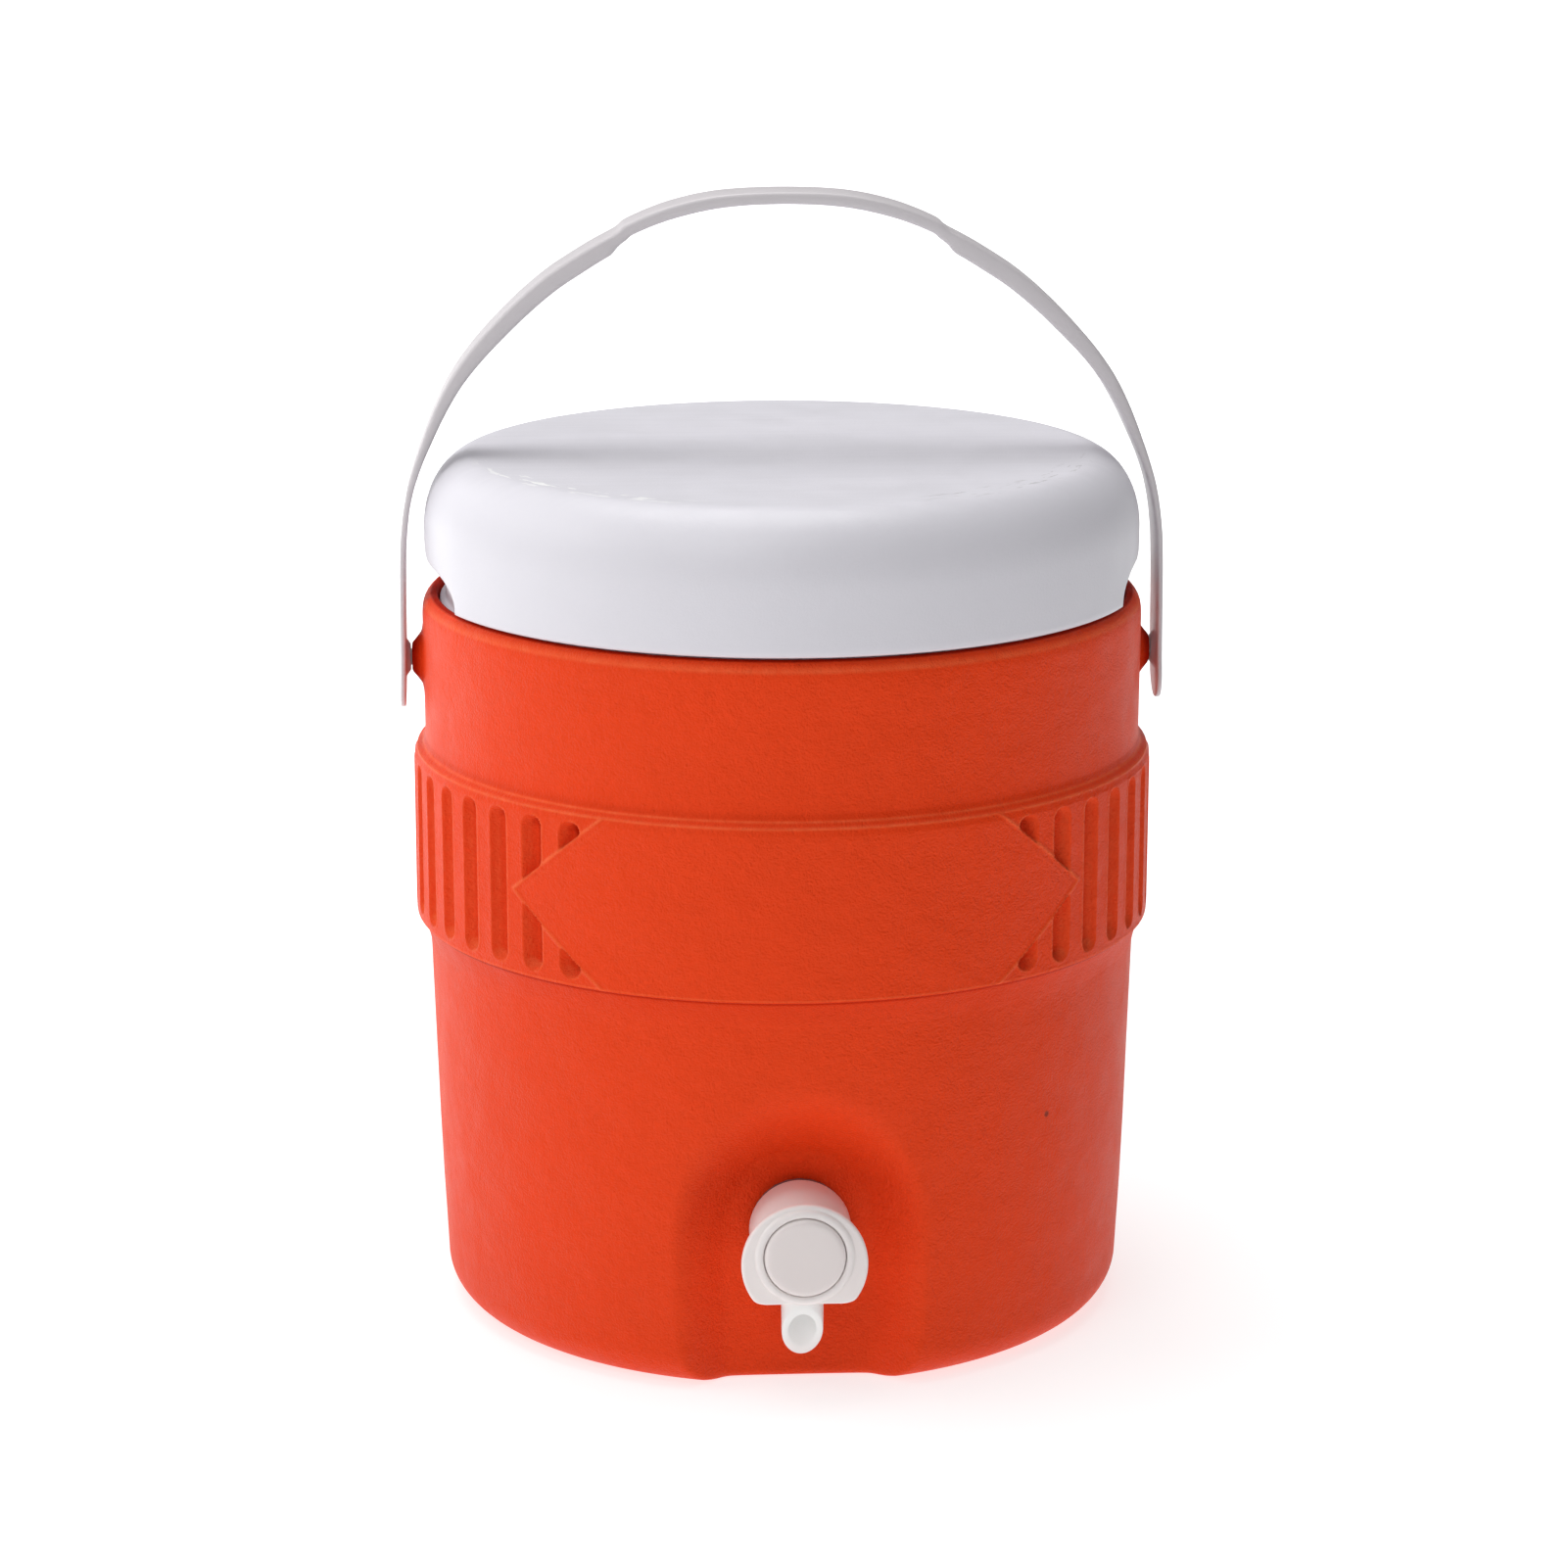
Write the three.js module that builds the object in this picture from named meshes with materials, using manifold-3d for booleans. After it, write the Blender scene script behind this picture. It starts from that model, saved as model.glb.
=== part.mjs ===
// Insulated drinks jug: rotomoulded orange casing, foam-insulated tank and lid,
// strap bail handle and a push-button tap. Millimetres, +Z up, the tap faces -Y.
// The origin is the centre of the base, on the axis of the jug.
import * as THREE from 'three';
import { mergeVertices } from 'three/addons/utils/BufferGeometryUtils.js';
import Module from 'manifold-3d';

const wasm = await Module();
wasm.setup();

// ---------------------------------------------------------------- driving dimensions
const SEG = 50;              // facets round the casing and the lid's cover
const SEG_IN = 36;           // facets round the pieces inside them
const GAP = 0.3;             // gap between touching pieces

const R_BAND = 122;          // grip band radius
const BAND_LO = 133;         // grip band, lower edge of the face
const BAND_HI = 186.5;       // grip band, upper edge of the face
const R_TOP = 118.5;         // casing above the band
const RIM_Z = 240.5;         // top of the casing's rim
const RIM_RI = 113.3;        // inner edge of the rim
const WALL_RI = 115.2;       // inside of the casing wall above the band
const BASE_T = 4.2;          // thickness of the casing's base

const SLOT_PITCH = 7.2;      // degrees between the grip slots
const SLOT_W = 7.4;          // slot width
const SLOT_FLOOR = 119.2;    // radius of the slot floor
const PANEL_TIP = 47.2;      // degrees from the panel centre to its chevron tip
const PANEL_CORNER = 30.6;   // degrees from the panel centre to its corners

const TAP_Z = 52;            // height of the tap's axis
const PAD_Y = -97.5;         // flat pad that the tap seats on
const PAD_R = 24;            // half width of the pad
const PAD_FLARE = 1.05;      // how fast the recess widens towards the casing's face

const LID_R = 117.4;         // lid radius
const LID_Z = 285.5;         // top of the lid
const LID_SHOULDER_Z = 262;  // where the lid's side starts to round over
const LID_TOP_R = 100.7;     // radius of the lid's flat top
const LID_SEAT = 241;        // underside of the lid's skirt
const WELL_R = 110.5;        // recessed wall of the lid's finger wells
const WELL_TOP = 249;        // underside of the finger grip
const WELL_ARCH = [[0, 0], [8, 0], [14, -0.7], [18, -2.6], [22, -5.2], [26.5, -6.9], [31, -7.9]]; // the well's arch: degrees from its middle, drop from its top

const TANK_RO = 96.5;        // tank outside radius at the mouth
const TANK_T = 2.6;          // tank wall
const FLANGE_LO = 229.3;     // tank flange, underside
const FLANGE_HI = 232;       // tank flange, top

const PIVOT_Z = 217.5;       // bail pivot height
const ARM_X = 125.7;         // outside of the bail's arms at the pivot
const STRAP_W = 19;          // bail strap width

const BORE_R = 9.9;          // hole through the wall for the tap's shank
const SHANK_R = 9.5;
const BUTTON_R = 12.85;
const BUTTON_FACE = 130;     // distance of the button's face from the jug's axis

const rad = (d) => (d * Math.PI) / 180;

// ---------------------------------------------------------------- geometry helpers
function prepared(geometry) {
  let g = geometry.clone();
  g.deleteAttribute('normal');
  g.deleteAttribute('uv');
  g = mergeVertices(g, 1e-4);
  return g;
}

function solid(geometry) {
  const g = prepared(geometry);
  const p = new Float32Array(g.attributes.position.array);
  let t = Array.from(g.index.array);
  // drop collapsed triangles at the poles
  const keep = [];
  for (let i = 0; i < t.length; i += 3) {
    if (t[i] !== t[i + 1] && t[i + 1] !== t[i + 2] && t[i] !== t[i + 2]) keep.push(t[i], t[i + 1], t[i + 2]);
  }
  t = keep;
  let v = 0;
  for (let i = 0; i < t.length; i += 3) {
    const [a, b, c] = [t[i] * 3, t[i + 1] * 3, t[i + 2] * 3];
    v += p[a] * (p[b + 1] * p[c + 2] - p[b + 2] * p[c + 1])
       + p[a + 1] * (p[b + 2] * p[c] - p[b] * p[c + 2])
       + p[a + 2] * (p[b] * p[c + 1] - p[b + 1] * p[c]);
  }
  if (v < 0) for (let i = 0; i < t.length; i += 3) [t[i + 1], t[i + 2]] = [t[i + 2], t[i + 1]];
  return new wasm.Manifold(new wasm.Mesh({ numProp: 3, vertProperties: p, triVerts: new Uint32Array(t) }));
}

function geometryOf(manifold) {
  const m = manifold.getMesh();
  const g = new THREE.BufferGeometry();
  g.setAttribute('position', new THREE.BufferAttribute(new Float32Array(m.vertProperties), 3));
  g.setIndex(Array.from(m.triVerts));
  g.computeVertexNormals();
  return g;
}

// closed profile of [r, z] turned about the Z axis
function turned(points, segments = SEG, phase = segments === SEG ? 180 / SEG : 0) {
  const v = points.map(([r, z]) => new THREE.Vector2(r, z));
  const onAxis = points[0][0] === 0 && points[points.length - 1][0] === 0;
  if (!onAxis) v.push(v[0].clone());
  const g = new THREE.LatheGeometry(v, segments);
  g.rotateX(Math.PI / 2);
  g.rotateZ(rad(phase));
  return g;
}

// closed profile of [r, s] turned about the tap's axis; s is the distance in front of the jug's axis
function turnedTap(points, segments = 28) {
  const v = points.map(([r, s]) => new THREE.Vector2(r, -s));
  const onAxis = points[0][0] === 0 && points[points.length - 1][0] === 0;
  if (!onAxis) v.push(v[0].clone());
  const g = new THREE.LatheGeometry(v, segments);
  g.translate(0, 0, TAP_Z);
  return g;
}

// closed profile of [r, x] turned about the bail's pivot axis
function turnedPivot(points, side, segments = 24) {
  const v = points.map(([r, x]) => new THREE.Vector2(r, x));
  const onAxis = points[0][0] === 0 && points[points.length - 1][0] === 0;
  if (!onAxis) v.push(v[0].clone());
  const g = new THREE.LatheGeometry(v, segments);
  g.rotateZ(side > 0 ? -Math.PI / 2 : Math.PI / 2);
  g.translate(0, 0, PIVOT_Z);
  return g;
}

function boxBetween(x0, x1, y0, y1, z0, z1) {
  const g = new THREE.BoxGeometry(x1 - x0, y1 - y0, z1 - z0);
  g.translate((x0 + x1) / 2, (y0 + y1) / 2, (z0 + z1) / 2);
  return g;
}

function arc(cx, cy, rx, ry, a0, a1, n) {
  const out = [];
  for (let i = 0; i <= n; i++) {
    const a = rad(a0 + ((a1 - a0) * i) / n);
    out.push([cx + rx * Math.cos(a), cy + ry * Math.sin(a)]);
  }
  return out;
}

// closed mesh skinned through equal rings of points, with flat end caps
function skinned(rings) {
  const n = rings[0].length;
  const pos = [];
  rings.forEach((ring) => ring.forEach((p) => pos.push(...p)));
  const idx = [];
  for (let i = 0; i < rings.length - 1; i++) {
    for (let j = 0; j < n; j++) {
      const a = i * n + j, b = i * n + ((j + 1) % n), c = a + n, d = b + n;
      idx.push(a, b, c, b, d, c);
    }
  }
  const last = (rings.length - 1) * n;
  for (let j = 1; j < n - 1; j++) {
    idx.push(0, j + 1, j);
    idx.push(last, last + j, last + j + 1);
  }
  const g = new THREE.BufferGeometry();
  g.setAttribute('position', new THREE.BufferAttribute(new Float32Array(pos), 3));
  g.setIndex(idx);
  return g;
}

// ---------------------------------------------------------------- the tap recess
// arch outline: a half circle over straight sides that run down past the base
function archRing(r, y, zLow) {
  const ring = arc(0, TAP_Z, r, r, 0, 180, 12).map(([x, z]) => [x, y, z]);
  ring.push([-r, y, zLow], [r, y, zLow]);
  return ring;
}
function recess(inset, zLow) {
  // the recess grown by inset on all its faces
  const slope = Math.hypot(1, PAD_FLARE);
  const r0 = PAD_R + inset * (slope - 1) * 1.6;
  const y0 = PAD_Y + inset;
  const y1 = PAD_Y - 28;
  const r1 = PAD_R + inset * 1.35 + PAD_FLARE * 28;
  return skinned([archRing(r0, y0, zLow), archRing(r1, y1, zLow)]);
}

// ---------------------------------------------------------------- body: casing
const outerProfile = [
  [0, 0], [101, 0], [107.4, 1.9], [112, 6.6], [113.7, 13],
  [115.6, 62], [117.2, 122.3], [118.5, 127.2], [120.3, 131.3], [R_BAND, BAND_LO], [R_BAND, BAND_HI],
  [120.95, 188.6], [119, 190.2], [118.4, 192.6], [R_TOP, 233],
  [117.5, 238.2], [115.8, 240.2], [114, RIM_Z], [RIM_RI, 239.3],
];
const innerProfile = [
  [0, BASE_T], [100.5, BASE_T], [108.2, 8.6], [110.6, 17],
  [113.9, 110], [WALL_RI, 128], [WALL_RI, 225],
  [110, 227], [110, 229], [RIM_RI, 229], [RIM_RI, 239.3],
];

function slotCutter(thetaDeg) {
  // upright slot with clipped ends, cut radially
  const h = SLOT_W / 2, z0 = BAND_LO + 3, z1 = BAND_HI - 0.5, k = 0.42;
  const outline = [
    [-h * k, z0], [h * k, z0], [h, z0 + h * 0.75], [h, z1 - h * 0.75],
    [h * k, z1], [-h * k, z1], [-h, z1 - h * 0.75], [-h, z0 + h * 0.75],
  ];
  const ring = (r) => outline.map(([x, z]) => [x, -r, z]);
  const g = skinned([ring(SLOT_FLOOR), ring(R_BAND + 3)]);
  g.rotateZ(rad(thetaDeg));
  return g;
}

function chevronPanel(centreDeg) {
  // smooth label panel of the band, ending in a point on each side
  const zl = BAND_LO + 0.4, zh = BAND_HI - 0.3, zm = (zl + zh) / 2;
  const rings = [];
  const stops = [];
  for (let a = -PANEL_CORNER; a <= PANEL_CORNER + 1e-6; a += PANEL_CORNER / 4) stops.push(a);
  const list = [-PANEL_TIP, -39, ...stops, 39, PANEL_TIP];
  for (const a of list) {
    const t = Math.max(0, (Math.abs(a) - PANEL_CORNER) / (PANEL_TIP - PANEL_CORNER));
    const half = Math.max(0.8, ((zh - zl) / 2) * (1 - t));
    const c = Math.sin(rad(a + centreDeg)), s = -Math.cos(rad(a + centreDeg));
    const ri = SLOT_FLOOR - 2, ro = R_BAND + 0.25;
    rings.push([
      [ri * c, ri * s, zm - half], [ro * c, ro * s, zm - half],
      [ro * c, ro * s, zm + half], [ri * c, ri * s, zm + half],
    ]);
  }
  return skinned(rings);
}

const bossOuter = (side) => turnedPivot([[0, 112], [9.4, 112], [8.7, 118], [7.6, 119.6], [4.9, 121.6], [4.3, 122.3], [0, 122.3]], side, 16);
const bossBore = (side) => turnedPivot([[0, 100], [3.1, 100], [3.1, 130], [0, 130]], side, 12);

const outerSolid = solid(turned(outerProfile.slice().concat([[0, 239.3]])));
const innerSolid = solid(turned(innerProfile.slice().concat([[0, 239.3]])));
const openTop = solid(turned([[0, 232], [RIM_RI, 232], [RIM_RI, 260], [0, 260]]));
const recessCut = solid(recess(0, -20));
const recessWall = solid(recess(3.2, -20));
const shankBore = solid(turnedTap([[0, 60], [BORE_R, 60], [BORE_R, 140], [0, 140]], 24));

let casing = outerSolid;
for (let k = 0; k < 50; k++) {
  const a = k * SLOT_PITCH;
  const fromPanel = Math.min(Math.abs(((a + 180) % 360) - 180), Math.abs(a - 180));
  if (fromPanel > 33) casing = casing.subtract(solid(slotCutter(a)));
}
casing = casing.add(solid(chevronPanel(0))).add(solid(chevronPanel(180)));
casing = casing.subtract(recessCut);
for (const side of [-1, 1]) casing = casing.add(solid(bossOuter(side)));
const cavity = innerSolid.subtract(recessWall);
casing = casing.subtract(cavity).subtract(openTop).subtract(shankBore);
for (const side of [-1, 1]) casing = casing.subtract(solid(bossBore(side)));

// ---------------------------------------------------------------- body: tank and insulation
const tankR = (z) => 93 + ((TANK_RO - 93) * (z - 22)) / (FLANGE_LO - 22);
const tankOut = solid(turned([
  [0, 22], [80, 22], [89.6, 27.4], [tankR(38), 38],
  [tankR(226), 226], [TANK_RO + 2.5, FLANGE_LO], [112.6, FLANGE_LO], [112.6, FLANGE_HI], [0, FLANGE_HI],
], SEG_IN));
const tankIn = solid(turned([
  [0, 22 + TANK_T], [79, 22 + TANK_T], [87.6, 29.4], [tankR(39) - TANK_T, 39],
  [tankR(228) - TANK_T, 229.5], [96.4, 233], [0, 233],
], SEG_IN));
const padHalf = 25;
const tankPad = solid(boxBetween(-padHalf, padHalf, -130, -91, 10, 84));
const tankPadIn = solid(boxBetween(-padHalf - 2, padHalf + 2, -130, -88.4, 10, 86));
const tank = tankOut.subtract(tankPad).subtract(tankIn.subtract(tankPadIn)).subtract(shankBore);

const foamSkin = solid(turned([
  [0, BASE_T + GAP], [100, BASE_T + GAP], [107.2, 8.8], [109.8, 17.2],
  [113.1, 110], [WALL_RI - 0.7, 128.4], [WALL_RI - 0.7, 224.5],
  [109.3, 226.3], [109.3, FLANGE_LO - GAP], [0, FLANGE_LO - GAP],
], SEG_IN));
const foamCore = solid(turned([
  [0, 22 - GAP], [80.1, 22 - GAP], [90, 27.1], [tankR(38) + 0.4, 38],
  [tankR(225.7) + 0.4, 225.7], [TANK_RO + 4.2, 231], [0, 231],
], SEG_IN));
const foamPad = solid(boxBetween(-padHalf + 0.4, padHalf - 0.4, -130, -91.3, 10.4, 83.6));
const recessFoam = solid(recess(3.7, -20));
const socketRoom = (side) => solid(turnedPivot([[0, 95], [7.6, 95], [7.6, 130], [0, 130]], side, 16));
const foamBore = solid(turnedTap([[0, 60], [BORE_R + 0.2, 60], [BORE_R + 0.2, 140], [0, 140]], 24));
let foam = foamSkin.subtract(recessFoam).subtract(foamCore.subtract(foamPad)).subtract(foamBore);
for (const side of [-1, 1]) foam = foam.subtract(socketRoom(side));

// sockets moulded into the wall behind the bosses; the bail's studs snap into them
const socket = (side) => solid(turnedPivot([
  [3.3, 102.4], [7.2, 102.4], [7.2, 112.4], [3.3, 112.4],
], side, 16));

// ---------------------------------------------------------------- lid
const lidOuter = [
  [0, LID_Z], ...arc(LID_TOP_R, LID_SHOULDER_Z, LID_R - LID_TOP_R, LID_Z - LID_SHOULDER_Z, 90, 0, 6),
  [LID_R, 242.6], [116.2, LID_SEAT], [112.7, LID_SEAT], [112.7, 236], [0, 236],
];
const lidInner = [
  [0, LID_Z - 2.8], ...arc(LID_TOP_R - 1, LID_SHOULDER_Z, LID_R - LID_TOP_R - 1.7, LID_Z - LID_SHOULDER_Z - 2.8, 90, 0, 4),
  [114.7, 243.6], [110.1, 243.6], [110.1, 235], [0, 235],
];
function wellSolid(side, r0, r1, z0, grow) {
  // annular sector of the finger well under its arch, grown by a wall's thickness
  const right = WELL_ARCH.map(([a, dz]) => [a + grow * 0.6, WELL_TOP + dz + grow]);
  const left = right.slice(1).reverse().map(([a, z]) => [-a, z]);
  const rings = [...left, [0, WELL_TOP + grow], ...right.slice(1)].map(([deg, z]) => {
    const c = side * Math.cos(rad(deg)), s = Math.sin(rad(deg));
    return [[r0 * c, r0 * s, z0], [r1 * c, r1 * s, z0], [r1 * c, r1 * s, z], [r0 * c, r0 * s, z]];
  });
  return solid(skinned(rings));
}
let lidShell = solid(turned(lidOuter));
let lidRoom = solid(turned(lidInner));
let lidFoamRoom = solid(turned([
  [0, LID_Z - 3.3], ...arc(LID_TOP_R - 2, LID_SHOULDER_Z, LID_R - LID_TOP_R - 2.4, LID_Z - LID_SHOULDER_Z - 3.6, 90, 0, 3),
  [113.9, 244], [109.3, 244], [109.3, 238], [88.8, 238], [88.8, 232.2], [0, 232.2],
], SEG_IN));
for (const side of [-1, 1]) {
  lidShell = lidShell.subtract(wellSolid(side, WELL_R, 125, 238.5, 0));
  lidRoom = lidRoom.subtract(wellSolid(side, WELL_R - 2.6, 130, 235.9, 2.6));
  lidFoamRoom = lidFoamRoom.subtract(wellSolid(side, WELL_R - 3, 130, 235.5, 3.1));
}
lidShell = lidShell.subtract(lidRoom);
const lidPlug = solid(turned([
  [0, 229.4], [90.2, 229.4], [92.2, 231.4], [92.2, 235.1], [106.8, 235.1], [106.8, 237.6],
  [89.4, 237.6], [89.4, 231.9], [0, 231.9],
], SEG_IN));
const lidGasket = turned([[100.5, 232.3], [106.6, 232.3], [106.6, 234.8], [100.5, 234.8]], SEG_IN);

// ---------------------------------------------------------------- bail handle
// outer line of the strap as [x, z, thickness], from the grip's crown down to the tail of the arm; the
// grip is a thinner stretch that sits further out than the arms, and the arms thin out towards the pivots
const bailLine = [
  [0, 370.5, 4], [10, 370.3, 4.05], [19, 369.7, 4.2], [26, 368.7, 4.3], [32, 367.4, 4.35],
  [38.3, 365.6, 4.3], [44.7, 363.2, 4.2], [49, 361.2, 4.1], [51.5, 359.8, 4.1],
  [54.2, 357.7, 4.2], [57.5, 355.95, 5.3], [62.7, 353.1, 5.9], [69.1, 349.2, 6], [75.5, 345, 6],
  [82, 339.9, 6], [88.4, 334.1, 5.9], [94.9, 327.5, 5.7], [100, 321.8, 5.4], [104.6, 315.9, 5],
  [108.2, 310.5, 4.6], [111.4, 304.6, 4.2], [114.4, 298, 3.7], [117, 291.4, 3.2], [120.2, 282.4, 2.5],
  [122.8, 273.3, 2.15], [124.4, 263.6, 1.95], [125.2, 254, 1.85], [125.5, 240, 1.7], [125.6, 226, 1.7],
  [ARM_X, 217.5, 1.7], [125.9, 209, 1.7], [126.2, 201.2, 1.7],
];

function bailStrap() {
  const full = [];
  for (let i = bailLine.length - 1; i > 0; i--) full.push([-bailLine[i][0], bailLine[i][1], bailLine[i][2]]);
  full.push(...bailLine);
  const rings = full.map((p, i) => {
    const a = full[Math.max(0, i - 1)], b = full[Math.min(full.length - 1, i + 1)];
    const dx = b[0] - a[0], dz = b[1] - a[1], l = Math.hypot(dx, dz);
    const nx = dz / l, nz = -dx / l;               // inward normal of a line that runs left to right
    let w = STRAP_W / 2;
    if (i === 0 || i === full.length - 1) w = 5.5;  // rounded tails
    else if (i === 1 || i === full.length - 2) w = 9.2;
    const q = [p[0] + nx * p[2], p[1] + nz * p[2]];
    return [[p[0], -w, p[1]], [p[0], w, p[1]], [q[0], w, q[1]], [q[0], -w, q[1]]];
  });
  return skinned(rings);
}
// stud: cone hub on the arm, pin through the boss and a snap head in the socket
const stud = (side) => solid(turnedPivot([
  [0, 104.5], [2.6, 104.5], [2.9, 106], [2.75, 122.6], [4.4, 122.6], [7.3, 124.8], [7.3, 125.2], [0, 125.2],
], side, 14));
let bail = solid(bailStrap());
for (const side of [-1, 1]) bail = bail.add(stud(side));

// ---------------------------------------------------------------- tap
const barrel = solid(turnedTap([
  [0, 124], [15.5, 124], [15.9, 118], [16.2, 106], [16.2, 100.3], [SHANK_R, 100.3],
  [SHANK_R, 77], [9, 76], [0, 76],
], 28));
const spoutOuter = (() => {
  const g = new THREE.CylinderGeometry(6.6, 6.9, 48, 24);
  g.rotateX(Math.PI / 2);
  g.translate(0, -114, 24);
  return solid(g);
})();
const spoutBore = (() => {
  const g = new THREE.CylinderGeometry(4.7, 4.7, 60, 20);
  g.rotateX(Math.PI / 2);
  g.translate(0, -113.2, 16);
  return solid(g);
})();
const spoutCut = (() => {
  // everything in front of and below the slanted outlet
  const ring = (x) => [[x, -121.5, 33.4], [x, -107, 10.6], [x, -90, -20], [x, -150, -20], [x, -150, 33.4]];
  return solid(skinned([ring(-20), ring(20)]));
})();
const spout = spoutOuter.subtract(spoutCut);
const tapRoom = solid(turnedTap([
  [0, 74], [6.2, 74], [6.2, 93.5], [7.6, 94.5], [7.6, 103], [5, 103], [5, 105], [9, 105], [9, 117.2],
  [14.6, 117.2], [14.6, 130], [0, 130],
], 28));
let tapBody = barrel.add(spout).subtract(tapRoom).subtract(spoutBore);

const flangePlate = (() => {
  const R = 19.9, cz = -3, flat = -16, rc = 4.2;
  // D outline: circle over a flat with rounded corners
  const s = new THREE.Shape();
  const cy = flat + rc;
  const cx = Math.sqrt((R - rc) * (R - rc) - (cy - cz) * (cy - cz));
  const a0 = Math.atan2(cy - cz, cx);
  const pts = [];
  for (let i = 0; i <= 28; i++) {
    const a = a0 + ((Math.PI - 2 * a0) * i) / 28;
    pts.push([R * Math.cos(a), cz + R * Math.sin(a)]);
  }
  for (let i = 1; i <= 5; i++) {
    const a = Math.PI - a0 + ((Math.PI / 2 + a0) * i) / 5;
    pts.push([-cx + rc * Math.cos(a), cy + rc * Math.sin(a)]);
  }
  for (let i = 0; i < 5; i++) {
    const a = (3 * Math.PI) / 2 + ((Math.PI / 2 + a0) * i) / 5;
    pts.push([cx + rc * Math.cos(a), cy + rc * Math.sin(a)]);
  }
  pts.forEach(([x, y], i) => (i ? s.lineTo(x, y) : s.moveTo(x, y)));
  s.closePath();
  const g = new THREE.ExtrudeGeometry(s, { depth: 3.2, bevelEnabled: false, curveSegments: 4 });
  g.rotateX(Math.PI / 2);            // extrude runs towards -Y
  g.translate(0, -124.3, TAP_Z);
  return solid(g);
})();
const bonnet = solid(turnedTap([
  [0, 128.6], [14.9, 128.6], [15.3, 128.1], [15.3, 125], [14.3, 125], [14.3, 117.5],
  [6.2, 117.5], [6.2, 114.6], [0, 114.6],
], 28));
const bonnetRoom = solid(turnedTap([
  [0, 110], [4.6, 110], [4.6, 116.8], [2.6, 116.8], [2.6, 119.3], [13.15, 119.3], [13.15, 140], [0, 140],
], 28));
const tapFlange = flangePlate.add(bonnet).subtract(bonnetRoom);

const buttonSolid = (() => {
  const cup = solid(turnedTap([[0, BUTTON_FACE], [11.9, BUTTON_FACE], [12.6, 129.6], [BUTTON_R, 128.9], [BUTTON_R, 124.4], [11.2, 124.4], [11.2, 127.8], [4.2, 127.8], [4.2, 124.6], [0, 124.6]], 28));
  const hole = solid(turnedTap([[0, 120], [2.5, 120], [2.5, 127.4], [0, 127.4]], 12));
  return cup.subtract(hole);
})();

const tapStem = turnedTap([[0, 127], [2.2, 127], [2.2, 100], [3.9, 100], [3.9, 98.3], [0, 98.3]], 12);
const valveSeal = turnedTap([[2.5, 102.7], [5.6, 102.7], [6.5, 101.6], [6.5, 100.3], [2.5, 100.3]], 16);
const stemOring = turnedTap([[2.5, 115.5], [3.4, 114.7], [4.2, 115.5], [3.4, 116.4]], 16);
const stemClip = turnedTap([[2.5, 112.6], [4.8, 112.6], [4.8, 113.7], [2.5, 113.7]], 16);
const outerGasket = turnedTap([[10.2, 97.8], [15.6, 97.8], [15.6, 100], [10.2, 100]], 24);
const innerGasket = turnedTap([[10.2, 86.1], [14.6, 86.1], [14.6, 88.1], [10.2, 88.1]], 24);
const lockNut = (() => {
  const g = new THREE.CylinderGeometry(17.3, 17.3, 7.6, 6);
  g.translate(0, -(85.8 - 3.8), TAP_Z);
  const hole = solid(turnedTap([[0, 60], [BORE_R, 60], [BORE_R, 95], [0, 95]], 24));
  return solid(g).subtract(hole);
})();

const springGeometry = (() => {
  const pts = [];
  const turns = 4, r = 6.4, s0 = 120, s1 = 127.1, steps = turns * 10;
  for (let i = 0; i <= steps; i++) {
    const a = (2 * Math.PI * turns * i) / steps;
    const s = s0 + ((s1 - s0) * i) / steps;
    pts.push(new THREE.Vector3(r * Math.cos(a), -s, TAP_Z + r * Math.sin(a)));
  }
  const curve = new THREE.CatmullRomCurve3(pts);
  const section = new THREE.Shape();
  for (let i = 0; i < 6; i++) {
    const a = (Math.PI * i) / 3;
    if (i) section.lineTo(0.5 * Math.cos(a), 0.5 * Math.sin(a));
    else section.moveTo(0.5, 0);
  }
  section.closePath();
  return new THREE.ExtrudeGeometry(section, { steps, extrudePath: curve, bevelEnabled: false });
})();

// ---------------------------------------------------------------- the assembly
const material = (color, roughness, metalness = 0) => new THREE.MeshStandardMaterial({ color, roughness, metalness });
const orange = material(0xe8501f, 0.45);
const white = material(0xe6e4ea, 0.4);
const tankWhite = material(0xf2f1ec, 0.35);
const foamCream = material(0xefe6c4, 0.9);
const strapWhite = material(0xe4dfe2, 0.4);
const tapWhite = material(0xe9e2df, 0.3);
const grey = material(0x6f7072, 0.7);
const clear = material(0xdcdfe0, 0.5);
const steel = material(0xb9bcc0, 0.3, 1);

const jug = new THREE.Group();
function part(name, shape, mat, parent) {
  const geometry = shape instanceof THREE.BufferGeometry ? geometryOf(solid(shape)) : geometryOf(shape);
  const mesh = new THREE.Mesh(geometry, mat);
  mesh.name = name;
  parent.add(mesh);
  return mesh;
}

const body = new THREE.Group();
part('outer_shell', casing, orange, body);
part('body_foam', foam, foamCream, body);
part('inner_liner', tank, tankWhite, body);
part('pivot_socket_left', socket(-1), clear, body);
part('pivot_socket_right', socket(1), clear, body);

const lid = new THREE.Group();
part('lid_shell', lidShell, white, lid);
part('lid_foam', lidFoamRoom, foamCream, lid);
part('lid_plug', lidPlug, white, lid);
part('lid_gasket', lidGasket, grey, lid);

const handle = new THREE.Group();
part('bail_handle', bail, strapWhite, handle);

const tap = new THREE.Group();
part('tap_body', tapBody, tapWhite, tap);
part('tap_flange', tapFlange, tapWhite, tap);
part('stem_oring', stemOring, grey, tap);
part('outer_gasket', outerGasket, grey, tap);
part('inner_gasket', innerGasket, grey, tap);
part('lock_nut', lockNut, tapWhite, tap);
part('tap_spring', springGeometry, steel, tap);

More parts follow.
